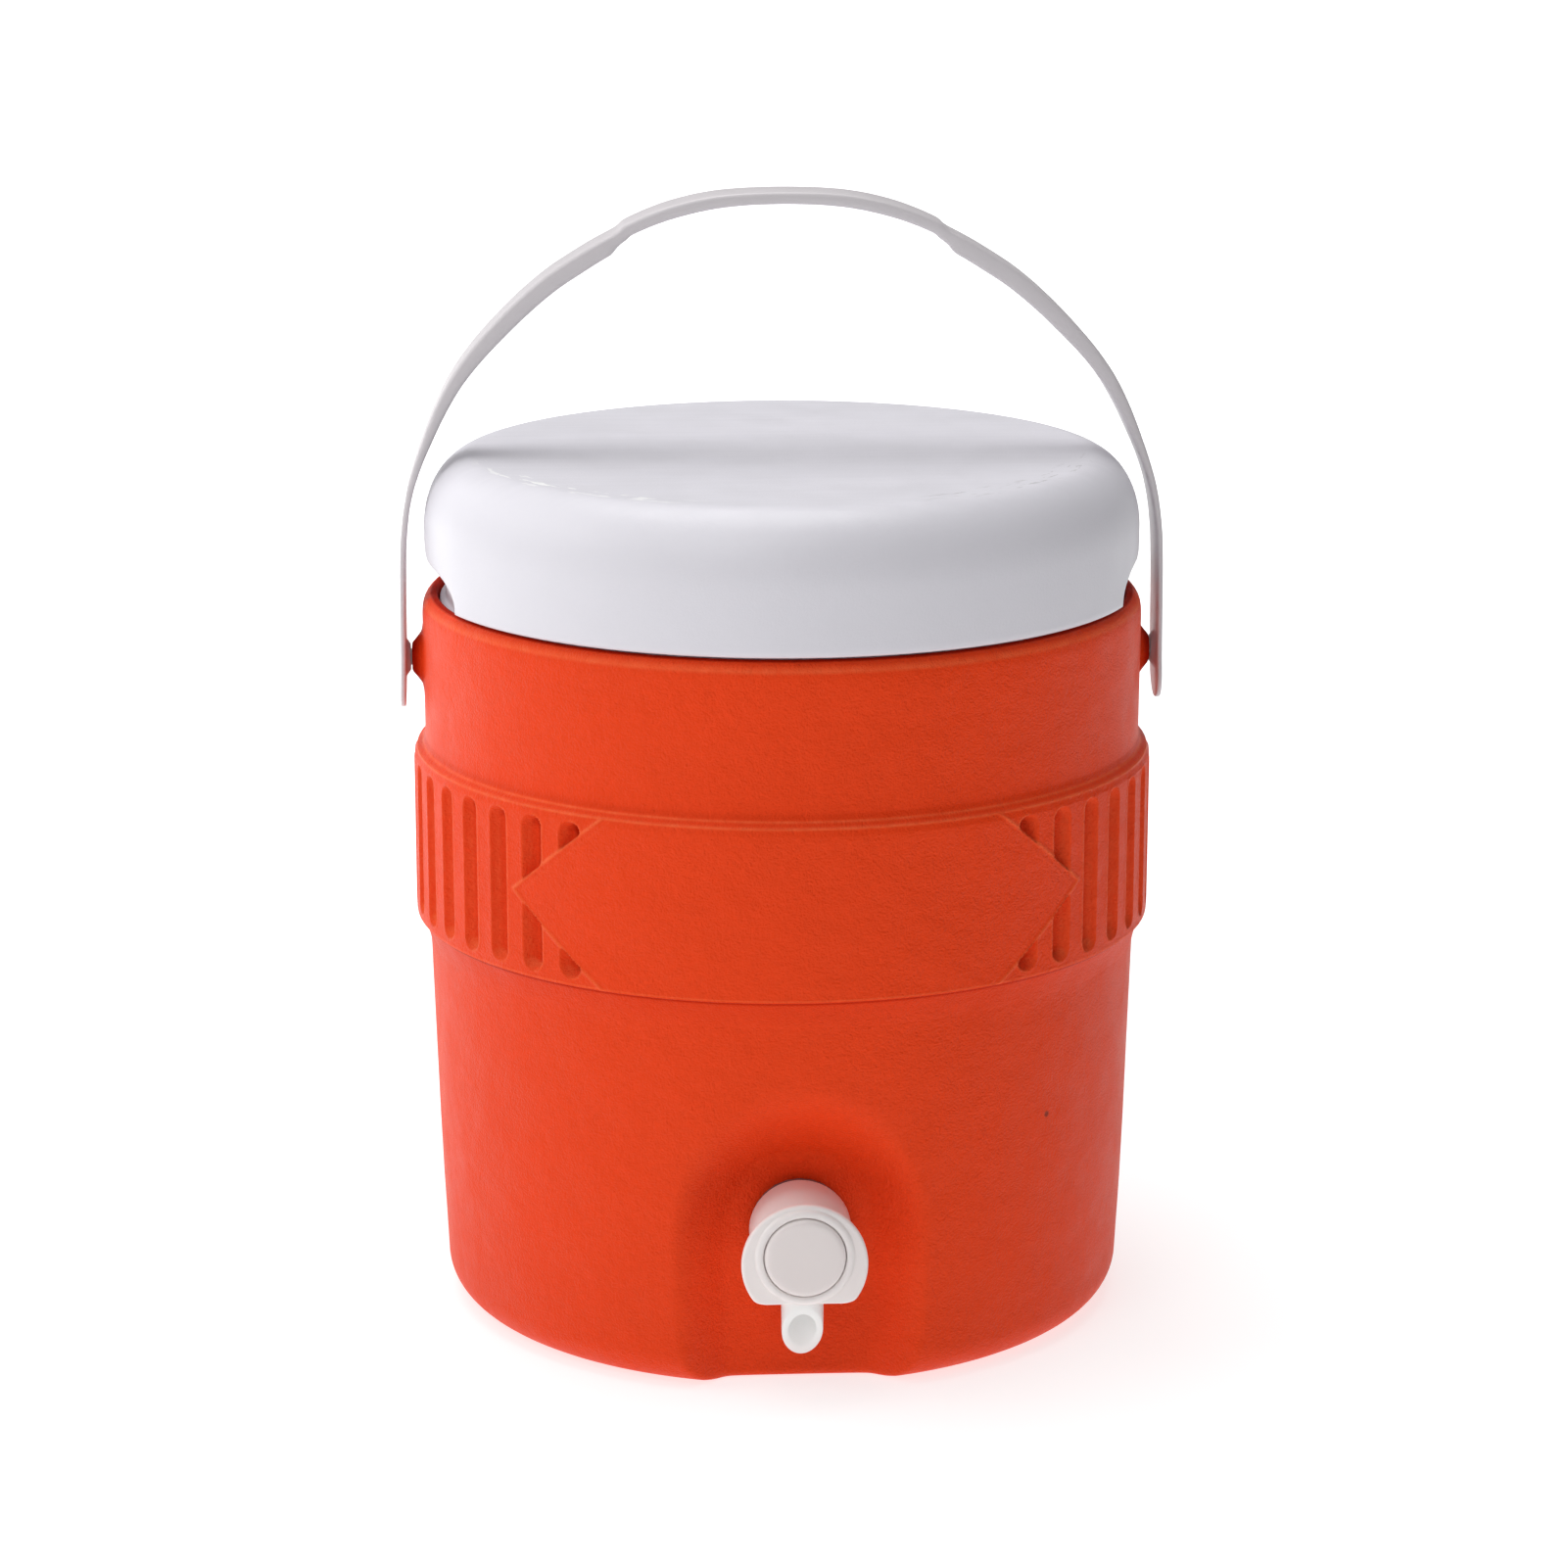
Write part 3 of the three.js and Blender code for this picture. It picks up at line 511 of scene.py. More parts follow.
def build_lid():
    fine = np.arange(60, 78, 0.4)
    base = list(np.arange(-58, 58.1, 2.0)) + list(fine) + list(np.arange(78, 102.1, 1.2)) + list(180 - fine[::-1])
    deg = base + list((np.array(base) + 180))
    theta = np.unique(np.round(np.radians(np.mod(np.array(deg), 360)), 7))
    T = theta[None]
    rows = []
    for r in [8, 20, 35, 50, 65, 78, 88, 94, 97.5, 99.2, 100.1, 100.7]:
        rows.append((r, LID_Z - 0.35 * (1 - (r / 100.7) ** 2) * 0 - 0.05, "top"))
    for a in np.linspace(0, 90, 26)[1:]:
        s = math.sin(math.radians(a))
        c = math.cos(math.radians(a))
        rows.append((LID_TOP_R + (LID_R - LID_TOP_R) * s, SHOULDER_Z + (LID_Z - 0.05 - SHOULDER_Z) * c, "side"))
    for z in list(np.arange(261, 257.5, -1.2)) + list(np.arange(257.2, 242.4, -0.62)):
        rows.append((LID_R, z, "side"))
    for r, z in [(117.3, 242.0), (117.05, 241.5), (116.6, 241.15), (116.0, 241.0)]:
        rows.append((r, z, "side"))
    under = [((114.6, 241.0), (WELL_R, 240.3)), ((113.2, 241.0), (WELL_R + 0.05, 239.4)), ((112.75, 240.7), (WELL_R + 0.3, 238.8)),
             ((112.7, 239.8), (WELL_R + 0.9, 238.55)), ((112.7, 239.0), (112.1, 238.5)), ((112.7, 238.2), (112.55, 238.3)),
             ((112.7, 237.2), (112.7, 237.4)), ((112.7, 236.4), (112.7, 236.5)), ((112.3, 236.0), (112.3, 236.0)),
             ((110.3, 236.0), (110.3, 236.0))]
    inner = [((110.1, 236.4), (107.7, 236.0)), ((110.1, 243.3), (107.7, 243.3)), ((114.5, 243.9), (107.7, 245)), ((114.7, 246), (107.7, 248)),
             ((114.7, 251), (107.7, 251.3)), ((114.7, 253), (109.0, 252.6)), ((114.7, 262), (114.7, 262))]
    P = []
    well_bottom = (LID_R - well_wall(T, np.full_like(T, 241.2))) / (LID_R - WELL_R)
    for r, z, kind in rows:
        Z = np.full_like(T, z)
        R = np.full_like(T, r)
        if kind == "side":
            if z < 257.2:
                R = np.minimum(R, well_wall(T, Z))
        R = R + low_waves(T, Z, 0.07) * (1 if kind == "side" else 0)
        if kind == "top":
            Z = Z - 0.25 * smooth(70, 0, r) + 0.12 * np.sin(3 * T + 0.5) * smooth(20, 80, r) * (1 - smooth(90, 100, r))
        P.append(np.stack([R * np.sin(T), -R * np.cos(T), Z], -1)[0])
    for (full, well) in under + inner:
        w = well_bottom
        R = full[0] * (1 - w) + well[0] * w
        Z = full[1] * (1 - w) + well[1] * w
        P.append(np.stack([R * np.sin(T), -R * np.cos(T), Z], -1)[0])
    for a in (25, 50, 72):
        s, c = math.sin(math.radians(90 - a)), math.cos(math.radians(90 - a))
        r, z = 99.7 + 15.0 * s, SHOULDER_Z + 20.7 * c
        P.append(np.stack([r * np.sin(T), -r * np.cos(T), z + 0 * T], -1)[0])
    P.append(np.stack([98 * np.sin(T), -98 * np.cos(T), 282.7 + 0 * T], -1)[0])
    return lofted("lid_cover", np.array(P), pole0=(0, 0, LID_Z - 0.3), pole1=(0, 0, 282.7))


# ------------------------------------------------------------------ bail
BAIL_LINE = [  # outer line of the strap and its thickness, from the grip's crown to the tail of the arm
    (0, 370.5, 4.0), (10, 370.3, 4.05), (19, 369.7, 4.2), (26, 368.7, 4.3), (32, 367.4, 4.35), (38.3, 365.6, 4.3), (44.7, 363.2, 4.2),
    (49, 361.3, 4.15), (50.8, 360.4, 4.15), (51.8, 359.75, 4.15), (52.8, 358.75, 4.1), (53.8, 357.95, 4.1), (54.9, 357.3, 4.3), (56.0, 356.7, 4.75),
    (57.2, 356.1, 5.4), (58.6, 355.35, 5.75), (62.7, 353.1, 5.9), (69.1, 349.2, 6.0), (75.5, 345.0, 6.0), (82, 339.9, 6.0), (88.4, 334.1, 5.9),
    (94.9, 327.5, 5.7), (100, 321.8, 5.4), (104.6, 315.9, 5.0), (108.2, 310.5, 4.6), (111.4, 304.6, 4.2), (114.4, 298.0, 3.7), (117, 291.4, 3.2),
    (120.2, 282.4, 2.5), (122.8, 273.3, 2.15), (124.4, 263.6, 1.95), (125.2, 254, 1.85), (125.5, 240, 1.75), (125.6, 226, 1.7),
    (125.7, 217.5, 1.7), (125.9, 209, 1.7), (126.15, 201.3, 1.7)]


def build_bail():
    line = np.array(BAIL_LINE, dtype=float)
    full = np.concatenate([(line[1:] * [-1, 1, 1])[::-1], line])
    seg = np.concatenate([[0], np.cumsum(np.linalg.norm(np.diff(full[:, :2], axis=0), axis=1))])
    # even, gently smoothed stations along the whole strap
    at = np.concatenate([seg, (seg[:-1] + seg[1:]) / 2])
    at = np.unique(np.concatenate([at, np.arange(0, seg[-1], 2.2), np.arange(0, 10, 0.8), seg[-1] - np.arange(0, 10, 0.8)]))
    at = at[np.concatenate([[True], np.diff(at) > 0.35])]
    at[-1] = seg[-1]
    m = len(seg)
    t1 = np.zeros((m, 3))
    for c in range(3):                                # tangents that keep the line free of overshoot
        d = np.diff(full[:, c]) / np.diff(seg)
        for i in range(1, m - 1):
            t1[i, c] = 0 if d[i - 1] * d[i] <= 0 else 2 * d[i - 1] * d[i] / (d[i - 1] + d[i])
        t1[0, c], t1[-1, c] = d[0], d[-1]
    k = np.clip(np.searchsorted(seg, at, side="right") - 1, 0, m - 2)
    h = (seg[k + 1] - seg[k])[:, None]
    u = ((at - seg[k]) / h[:, 0])[:, None]
    fit = ((2 * u ** 3 - 3 * u ** 2 + 1) * full[k] + (u ** 3 - 2 * u ** 2 + u) * h * t1[k]
           + (3 * u ** 2 - 2 * u ** 3) * full[k + 1] + (u ** 3 - u ** 2) * h * t1[k + 1])
    o = fit[:, :2]
    d = np.gradient(o, at, axis=0)
    d /= np.linalg.norm(d, axis=1)[:, None]
    kernel = np.array([1, 2, 3, 2, 1]) / 9.0
    for c in range(2):                                # the inner face follows a calmer direction than the outer one
        d[:, c] = np.convolve(np.pad(d[:, c], 2, mode="edge"), kernel, mode="valid")
    d /= np.linalg.norm(d, axis=1)[:, None]
    q = o + np.stack([d[:, 1], -d[:, 0]], 1) * fit[:, 2:3]
    # width: rounded tails, slightly narrower grip
    seg = np.concatenate([[0], np.cumsum(np.linalg.norm(np.diff(o, axis=0), axis=1))])
    total = seg[-1]
    P = []
    for k in range(len(o)):
        u = min(seg[k], total - seg[k])
        hw = 9.5
        if u < 9.5:
            hw = 9.5 * math.sqrt(max(1 - (1 - (u + 0.35) / 9.85) ** 2, 0.02))
        hw -= 0.25 * smooth(0, 1, (60 - abs(o[k][0])) / 8)
        a, b = o[k], q[k]
        t = np.linalg.norm(b - a)
        r = min(1.25, t * 0.42, hw * 0.6)
        ring = []
        # rounded rectangle in (across, through)
        for cx, cy, a0 in [(hw - r, t - r, 0), (-(hw - r), t - r, 90), (-(hw - r), r, 180), (hw - r, r, 270)]:
            for j in range(4):
                ang = math.radians(a0 + 30 * j)
                ring.append((cx + r * math.cos(ang), cy + r * math.sin(ang)))
        pts = []
        for (yy, tt) in ring:
            pos = a * (1 - tt / t) + b * (tt / t)
            pts.append([pos[0], yy, pos[1]])
        P.append(pts)
    P = np.array(P)
    strap = lofted("bail_strap", P, pole0=P[0].mean(0), pole1=P[-1].mean(0))
    for side in ("x+", "x-"):
        prof = rounded([(0, 104.6, 0), (2.5, 104.6, 0.5), (2.9, 106.4, 0.3), (2.7, 109, 0.3), (2.7, 122.6, 0), (4.35, 122.55, 0.25), (7.3, 124.6, 0.35), (7.35, 125.0, 0), (0, 125.0, 0)], 0.3, n=3, closed=False)
        stud = turned("stud", prof, 48, side, (0, 0, PIVOT_Z), ring=False)
        combine(strap, stud, "UNION")
    edges_by_angle(strap, 40)
    return strap


# ------------------------------------------------------------------ tap
def build_tap_body():
    barrel = turned("tap_barrel", rounded([
        (9.6, 77, 0.4), (9.6, 100.3, 0), (15.9, 100.3, 0.5), (16.25, 101.5, 0.8), (16.1, 110, 4), (15.7, 118, 4), (15.5, 124.1, 0.4), (14.7, 124.1, 0.2),
        (14.7, 117.4, 0.3), (9, 117.2, 0.3), (9, 105, 0.3), (5, 105, 0.2), (5, 103, 0.2), (7.6, 103, 0.2), (7.6, 94.6, 0.3), (6.2, 93.6, 0.3), (6.2, 76.2, 0.3), (9.0, 76.2, 0.3)],
        0.3, n=4), 144, "y", (0, 0, TAP_Z))
    # spout with a slanted outlet
    n = 96
    phi = np.linspace(0, 2 * np.pi, n, endpoint=False)
    cy = -114.0

    def cut(y):
        return 11.3 + (-107.3 - y) * (21.2 / 13.3)

    def wall(r, lift):
        x, y = r * np.cos(phi), cy + r * np.sin(phi)
        return x, y, cut(y) + lift

    rows = []
    top = 44.0

    def inside(y, z):                                   # the spout's root stays behind the button's room
        return np.where(z > 36.6, np.maximum(y, -118.9), y)

    for f in [0, 0.12, 0.2, 0.24, 0.3, 0.4, 0.52, 0.66, 0.82, 1.0]:
        r = 6.9 - 0.3 * f
        x, y, zc = wall(r, 1.0)
        z = top + (zc - top) * f
        rows.append(np.stack([x, inside(y, z), z], -1))
    for r, lift in [(6.53, 0.45), (6.3, 0.12), (5.9, 0.0), (5.2, 0.0), (4.75, 0.12), (4.45, 0.4), (4.3, 0.8)]:
        x, y, zc = wall(r, lift)
        rows.append(np.stack([x, y, zc], -1))
    for f in np.linspace(0, 1, 7)[1:]:
        x, y, zc = wall(4.25, 1.2)
        rows.append(np.stack([x, y, zc + (top - zc) * f], -1))
    spout = lofted("spout", np.array(rows), ring=True)
    combine(barrel, spout, "UNION")
    edges_by_angle(barrel, 38)
    return barrel


def d_outline(phi, grow=0.0):
    """Radius of the flange's outline from the tap's axis; phi 0 points up."""
    R, cz, flat = 19.9 + grow, -3.0, 16.0 + grow
    c = np.cos(phi)
    # circle with its centre below the axis
    b = cz * c
    circ = b + np.sqrt(np.maximum(b * b - cz * cz + R * R, 0))
    line = np.where(c < -0.05, flat / np.maximum(-c, 0.05), 1e3)
    return smin(circ, np.minimum(line, 60), 2.6)


def build_flange():
    phi = np.linspace(0, 2 * np.pi, 240, endpoint=False)
    rows = []

    def ring(r, s):
        r = np.broadcast_to(r, phi.shape)
        rows.append(np.stack([r * np.sin(phi), np.full_like(phi, -s), TAP_Z + r * np.cos(phi)], -1))

    for r, s in [(13.02, 119.6), (13.02, 122), (13.02, 125), (13.02, 127.7), (13.06, 128.2), (13.2, 128.5), (13.5, 128.72), (13.95, 128.8), (14.5, 128.74), (15.0, 128.55), (15.35, 128.2), (15.55, 127.8), (15.68, 127.56), (15.9, 127.48)]:
        ring(r, s)
    D = d_outline(phi)
    for g, s in [(-1.15, 127.46), (-0.8, 127.42), (-0.45, 127.26), (-0.2, 127.0), (-0.05, 126.65), (0.0, 126.2), (0.0, 125.4), (-0.08, 124.95), (-0.25, 124.66), (-0.5, 124.48), (-0.8, 124.4)]:
        ring(np.maximum(D + g, 16.05), s)
    for r, s in [(15.7, 124.35), (14.3, 124.35), (14.3, 118.2), (14.0, 117.6), (6.4, 117.5), (6.2, 117.2), (6.2, 114.8), (5.9, 114.6), (4.7, 114.6), (4.6, 114.8), (4.6, 116.8), (2.7, 116.8), (2.6, 117), (2.6, 119.2), (2.8, 119.35), (12.9, 119.35)]:
        ring(r, s)
    ob = lofted("tap_bonnet", np.array(rows), ring=True)
    edges_by_angle(ob, 50)
    return ob


def build_button():
    prof = [(0, 130.0)]
    for r in (3, 6, 8.5, 10.0, 10.9):
        prof.append((r, 130.0 - 0.2 * (r / 10.9) ** 2))
    prof += [(11.45, 129.7), (11.9, 129.54), (12.27, 129.28), (12.56, 128.9), (12.76, 128.4), (12.85, 127.8), (12.85, 124.8), (12.7, 124.45), (12.4, 124.4), (11.5, 124.4), (11.25, 124.6),
             (11.2, 127.5), (10.9, 127.8), (4.5, 127.8), (4.2, 127.6), (4.2, 124.8), (4.0, 124.6), (2.6, 124.6), (2.5, 124.8), (2.5, 127.2), (0, 127.3)]
    ob = turned("push_button", prof, 144, "y", (0, 0, TAP_Z), ring=False)
    edges_by_angle(ob, 50)
    return ob


# ------------------------------------------------------------------ turned inner pieces that show as the lid lifts
def build_tank():
    tr = lambda z: 93 + 3.5 * (z - 22) / (229.3 - 22)
    prof = rounded([(0.0, 22, 0), (79, 22, 6), (92.6, 30, 14), (tr(60), 60, 0), (tr(225), 225, 0), (tr(229) + 2, 229.3, 1), (112.5, 229.3, 0.5), (112.5, 232, 0.7),
                    (99.5, 232, 2.0), (tr(226) - 2.6, 229, 2.0), (tr(60) - 2.6, 60, 0), (90.0, 32, 12), (78, 24.6, 6), (0.0, 24.6, 0)], 1.0, n=5, closed=False)
    ob = turned("drink_tank", prof, 200, "z", ring=False)
    v = np.array([x.co[:] for x in ob.data.vertices]) * 1000
    # flat pad for the tap
    front = (np.abs(v[:, 0]) < 34) & (v[:, 1] < 0) & (v[:, 2] > 20) & (v[:, 2] < 92)
    rr = np.hypot(v[:, 0], v[:, 1])
    outer = rr > np.interp(v[:, 2], [20, 30, 60, 230], [88, 90.8, 91.8, 95.2])
    lim = np.where(outer, -91.0, -88.4)
    w = (1 - smooth(24, 33, np.abs(v[:, 0]))) * smooth(20, 28, v[:, 2]) * (1 - smooth(82, 91, v[:, 2]))
    y = np.where(front, np.maximum(v[:, 1], lim), v[:, 1])
    v[:, 1] = v[:, 1] * (1 - w) + y * w
    ob.data.vertices.foreach_set("co", (v * 0.001).astype(np.float32).ravel())
    bore = turned("bore_cut", [(0, 80), (9.9, 80), (9.9, 100), (0, 100)], 64, "y", (0, 0, TAP_Z), ring=False)
    combine(ob, bore, "DIFFERENCE")
    edges_by_angle(ob, 40)
    return ob


def build_plug():
    prof = rounded([(0.0, 229.4, 0), (89.5, 229.4, 2.0), (92.2, 231.6, 2.0), (92.2, 235.1, 0.4), (106.8, 235.1, 0.5), (106.8, 237.6, 0.5), (89.4, 237.6, 0.4), (89.4, 231.9, 0.6), (0.0, 231.9, 0)], 0.5, n=4, closed=False)
    return turned("lid_plate", prof, 200, "z", ring=False)


def build_gasket():
    prof = rounded([(100.4, 232.4), (103.0, 232.15), (106.7, 232.4), (106.7, 234.8), (100.4, 234.8)], 0.5, n=4)
    return turned("lid_seal", prof, 200, "z")


# ------------------------------------------------------------------ materials
def node(nt, kind, **values):
    n = nt.nodes.new(kind)
    for k, v in values.items():
        if k in n.inputs:
            n.inputs[k].default_value = v
        else:
            setattr(n, k, v)
    return n


def plastic(name, base, rough, grain=1200.0, grain_depth=0.00006, tone=0.05, sss=0.0, sss_radius=(1, 1, 1), coat=0.0, metallic=0.0,
            spec=0.5, rough_var=0.05, sheen=None, marks_and_painted_light=None, mottling=0.0):
    """Moulded plastic: fine grain, slow tone drift, uneven gloss, and passed-in marks: rubs, and painted highlights
    and shade.
    """
    m = bpy.data.materials.new(name)
    m.use_nodes = True
    nt = m.node_tree
    nt.nodes.clear()
    out = node(nt, "ShaderNodeOutputMaterial")
    bsdf = node(nt, "ShaderNodeBsdfPrincipled")
    nt.links.new(bsdf.outputs[0], out.inputs[0])
    bsdf.inputs["Metallic"].default_value = metallic
    bsdf.inputs["Specular IOR Level"].default_value = spec
    if sheen is not None:
        bsdf.inputs["Specular Tint"].default_value = (*sheen, 1)
    bsdf.inputs["Coat Weight"].default_value = coat
    bsdf.inputs["Coat Roughness"].default_value = 0.25
    if sss > 0:
        bsdf.inputs["Subsurface Weight"].default_value = sss
        bsdf.inputs["Subsurface Radius"].default_value = sss_radius
        bsdf.inputs["Subsurface Scale"].default_value = 0.004
    tc = node(nt, "ShaderNodeTexCoord")
    slow = node(nt, "ShaderNodeTexNoise", Scale=14.0, Detail=3.0, Roughness=0.5)
    fine = node(nt, "ShaderNodeTexNoise", Scale=grain * 0.35, Detail=2.0, Roughness=0.6)
    nt.links.new(tc.outputs["Object"], slow.inputs["Vector"])
    nt.links.new(tc.outputs["Object"], fine.inputs["Vector"])
    ramp = node(nt, "ShaderNodeMapRange")
    ramp.inputs["From Min"].default_value = 0.3
    ramp.inputs["From Max"].default_value = 0.7
    nt.links.new(slow.outputs["Fac"], ramp.inputs["Value"])
    mix = node(nt, "ShaderNodeMix", data_type="RGBA")
    b = np.array(base)
    mix.inputs["A"].default_value = (*np.clip(b * (1 - tone), 0, 1), 1)
    mix.inputs["B"].default_value = (*np.clip(b * (1 + tone), 0, 1), 1)
    nt.links.new(ramp.outputs[0], mix.inputs["Factor"])
    colour = mix.outputs["Result"]
    if mottling > 0:
        mm = node(nt, "ShaderNodeMix", data_type="RGBA", blend_type="MULTIPLY")
        mr = node(nt, "ShaderNodeMapRange")
        mr.inputs["From Min"].default_value = 0.25
        mr.inputs["From Max"].default_value = 0.75
        mr.inputs["To Min"].default_value = 1 - mottling
        mr.inputs["To Max"].default_value = 1.0
        nt.links.new(fine.outputs["Fac"], mr.inputs["Value"])
        mm.inputs["Factor"].default_value = 1.0
        nt.links.new(colour, mm.inputs["A"])
        nt.links.new(mr.outputs[0], mm.inputs["B"])
        colour = mm.outputs["Result"]
    # roughness
    rr = node(nt, "ShaderNodeMapRange")
    rr.inputs["From Min"].default_value = 0.3
    rr.inputs["From Max"].default_value = 0.7
    rr.inputs["To Min"].default_value = rough - rough_var
    rr.inputs["To Max"].default_value = rough + rough_var
    mid = node(nt, "ShaderNodeTexNoise", Scale=60.0, Detail=4.0, Roughness=0.6)
    nt.links.new(tc.outputs["Object"], mid.inputs["Vector"])
    nt.links.new(mid.outputs["Fac"], rr.inputs["Value"])
    nt.links.new(rr.outputs[0], bsdf.inputs["Roughness"])
    if marks_and_painted_light is not None:
        colour = marks_and_painted_light(nt, tc, colour)
    nt.links.new(colour, bsdf.inputs["Base Color"])
    # grain
    g = node(nt, "ShaderNodeTexNoise", Scale=grain, Detail=2.0, Roughness=0.55)
    nt.links.new(tc.outputs["Object"], g.inputs["Vector"])
    bump = node(nt, "ShaderNodeBump", Strength=1.0)
    bump.inputs["Distance"].default_value = grain_depth
    nt.links.new(g.outputs["Fac"], bump.inputs["Height"])
    b2 = node(nt, "ShaderNodeBump", Strength=1.0)
    b2.inputs["Distance"].default_value = grain_depth * 3
    nt.links.new(mid.outputs["Fac"], b2.inputs["Height"])
    nt.links.new(bump.outputs[0], b2.inputs["Normal"])
    nt.links.new(b2.outputs[0], bsdf.inputs["Normal"])
    return m


def casing_marks(nt, tc, colour):
    """Painted highlights on the band's crests and edges and on the rim's shoulder, painted shade down in the slots and
    in other shaded places, and one dark speck.
    """
    def lerp(a, factor, value):
        m = node(nt, "ShaderNodeMix", data_type="RGBA")
        nt.links.new(factor, m.inputs["Factor"])
        nt.links.new(a, m.inputs["A"])
        m.inputs["B"].default_value = (*value, 1)
        return m.outputs["Result"]
    painted_highlight = node(nt, "ShaderNodeAttribute", attribute_name="painted_highlight")
    uneven = node(nt, "ShaderNodeTexNoise", Scale=230.0, Detail=3.0)
    nt.links.new(tc.outputs["Object"], uneven.inputs["Vector"])
    amount = node(nt, "ShaderNodeMapRange")
    for k, v in (("From Min", 0.3), ("From Max", 0.7), ("To Min", 0.3), ("To Max", 0.62)):
        amount.inputs[k].default_value = v
    nt.links.new(uneven.outputs["Fac"], amount.inputs["Value"])
    on = node(nt, "ShaderNodeMath", operation="MULTIPLY")
    nt.links.new(painted_highlight.outputs["Fac"], on.inputs[0])
    nt.links.new(amount.outputs[0], on.inputs[1])
    # painted highlight colour, broken up by noise
    colour = lerp(colour, on.outputs[0], (1.0, 0.2, 0.07))
    painted_shade = node(nt, "ShaderNodeAttribute", attribute_name="painted_shade")
    painted_shade_amount = node(nt, "ShaderNodeMath", operation="MULTIPLY")
    painted_shade_amount.inputs[1].default_value = 0.85
    nt.links.new(painted_shade.outputs["Fac"], painted_shade_amount.inputs[0])
    # painted shade colour
    colour = lerp(colour, painted_shade_amount.outputs[0], (0.36, 0.007, 0.0006))
    away = node(nt, "ShaderNodeVectorMath", operation="DISTANCE")
    nt.links.new(tc.outputs["Object"], away.inputs[0])
    away.inputs[1].default_value = SPECK
    spot = node(nt, "ShaderNodeMapRange")
    for k, v in (("From Min", 0.0006), ("From Max", 0.0013), ("To Min", 0.8), ("To Max", 0.0)):
        spot.inputs[k].default_value = v
    nt.links.new(away.outputs["Value"], spot.inputs["Value"])
    return lerp(colour, spot.outputs[0], (0.16, 0.01, 0.004))


def lid_marks(nt, tc, colour):
    """Faint streaks across the top, and rubs and small scratches where the top turns down, painted pale on the lit
    left side and dark on the shaded right.
    """
    def m(op, a, b=None):
        n = node(nt, "ShaderNodeMath", operation=op)
        for i, v in enumerate((a, b)):
            if v is None:
                continue
            if isinstance(v, (int, float)):
                n.inputs[i].default_value = v
            else:
                nt.links.new(v, n.inputs[i])
        return n.outputs[0]
    sep = node(nt, "ShaderNodeSeparateXYZ")
    nt.links.new(tc.outputs["Object"], sep.inputs[0])
    x, y, z = sep.outputs
    r = m("SQRT", m("ADD", m("MULTIPLY", x, x), m("MULTIPLY", y, y)))
    a = m("ARCTAN2", x, m("MULTIPLY", y, -1.0))
    vec = node(nt, "ShaderNodeCombineXYZ")
    nt.links.new(m("MULTIPLY", a, 9.0), vec.inputs[0])
    nt.links.new(m("MULTIPLY", r, 420.0), vec.inputs[1])
    rub = node(nt, "ShaderNodeTexNoise", Scale=1.0, Detail=3.0, Roughness=0.55)
    nt.links.new(vec.outputs[0], rub.inputs["Vector"])

    def band(value, lo, hi, low, high):
        n = node(nt, "ShaderNodeMapRange")
        for k, v in (("From Min", lo), ("From Max", hi), ("To Min", low), ("To Max", high)):
            n.inputs[k].default_value = v
        nt.links.new(value, n.inputs["Value"])
        return n.outputs[0]
    edge = m("ABSOLUTE", m("SUBTRACT", r, 0.0985))
    near = band(edge, 0.0012, 0.0055, 1.0, 0.0)
    high = band(z, 0.276, 0.281, 0.0, 1.0)
    left = band(a, -0.25, -0.5, 0.0, 1.0)
    right = band(a, 0.3, 0.6, 0.0, 1.0)
    front = band(y, -0.01, -0.04, 0.0, 1.0)
    # the rub marks are real, but they are painted pale on the lit left side and dark on the shaded right
    pale = m("MULTIPLY", m("MULTIPLY", band(rub.outputs["Fac"], 0.57, 0.62, 0.0, 1.0), near), m("MULTIPLY", m("MULTIPLY", high, left), front))
    dark = m("MULTIPLY", m("MULTIPLY", band(rub.outputs["Fac"], 0.41, 0.37, 0.0, 1.0), near), m("MULTIPLY", m("MULTIPLY", high, right), front))
    streak_vec = node(nt, "ShaderNodeCombineXYZ")
    nt.links.new(m("MULTIPLY", x, 16.0), streak_vec.inputs[0])
    nt.links.new(m("MULTIPLY", y, 260.0), streak_vec.inputs[1])
    streak = node(nt, "ShaderNodeTexNoise", Scale=1.0, Detail=3.0, Roughness=0.5)
    nt.links.new(streak_vec.outputs[0], streak.inputs["Vector"])
    wash = m("MULTIPLY", band(streak.outputs["Fac"], 0.35, 0.65, 0.0, 0.07), band(z, 0.280, 0.284, 0.0, 1.0))
    for factor, value in ((wash, (0.45, 0.45, 0.48)), (pale, (0.98, 0.98, 0.98)), (m("MULTIPLY", dark, 0.7), (0.32, 0.3, 0.3))):
        mix = node(nt, "ShaderNodeMix", data_type="RGBA")
        nt.links.new(factor, mix.inputs["Factor"])
        nt.links.new(colour, mix.inputs["A"])
        mix.inputs["B"].default_value = (*value, 1)
        colour = mix.outputs["Result"]
    return colour


SPECK = (0.0805, -0.0842, 0.0830)


def srgb(r, g, b):
    def f(c):
        c /= 255.0
        return c / 12.92 if c <= 0.04045 else ((c + 0.055) / 1.055) ** 2.4
    return (f(r), f(g), f(b))


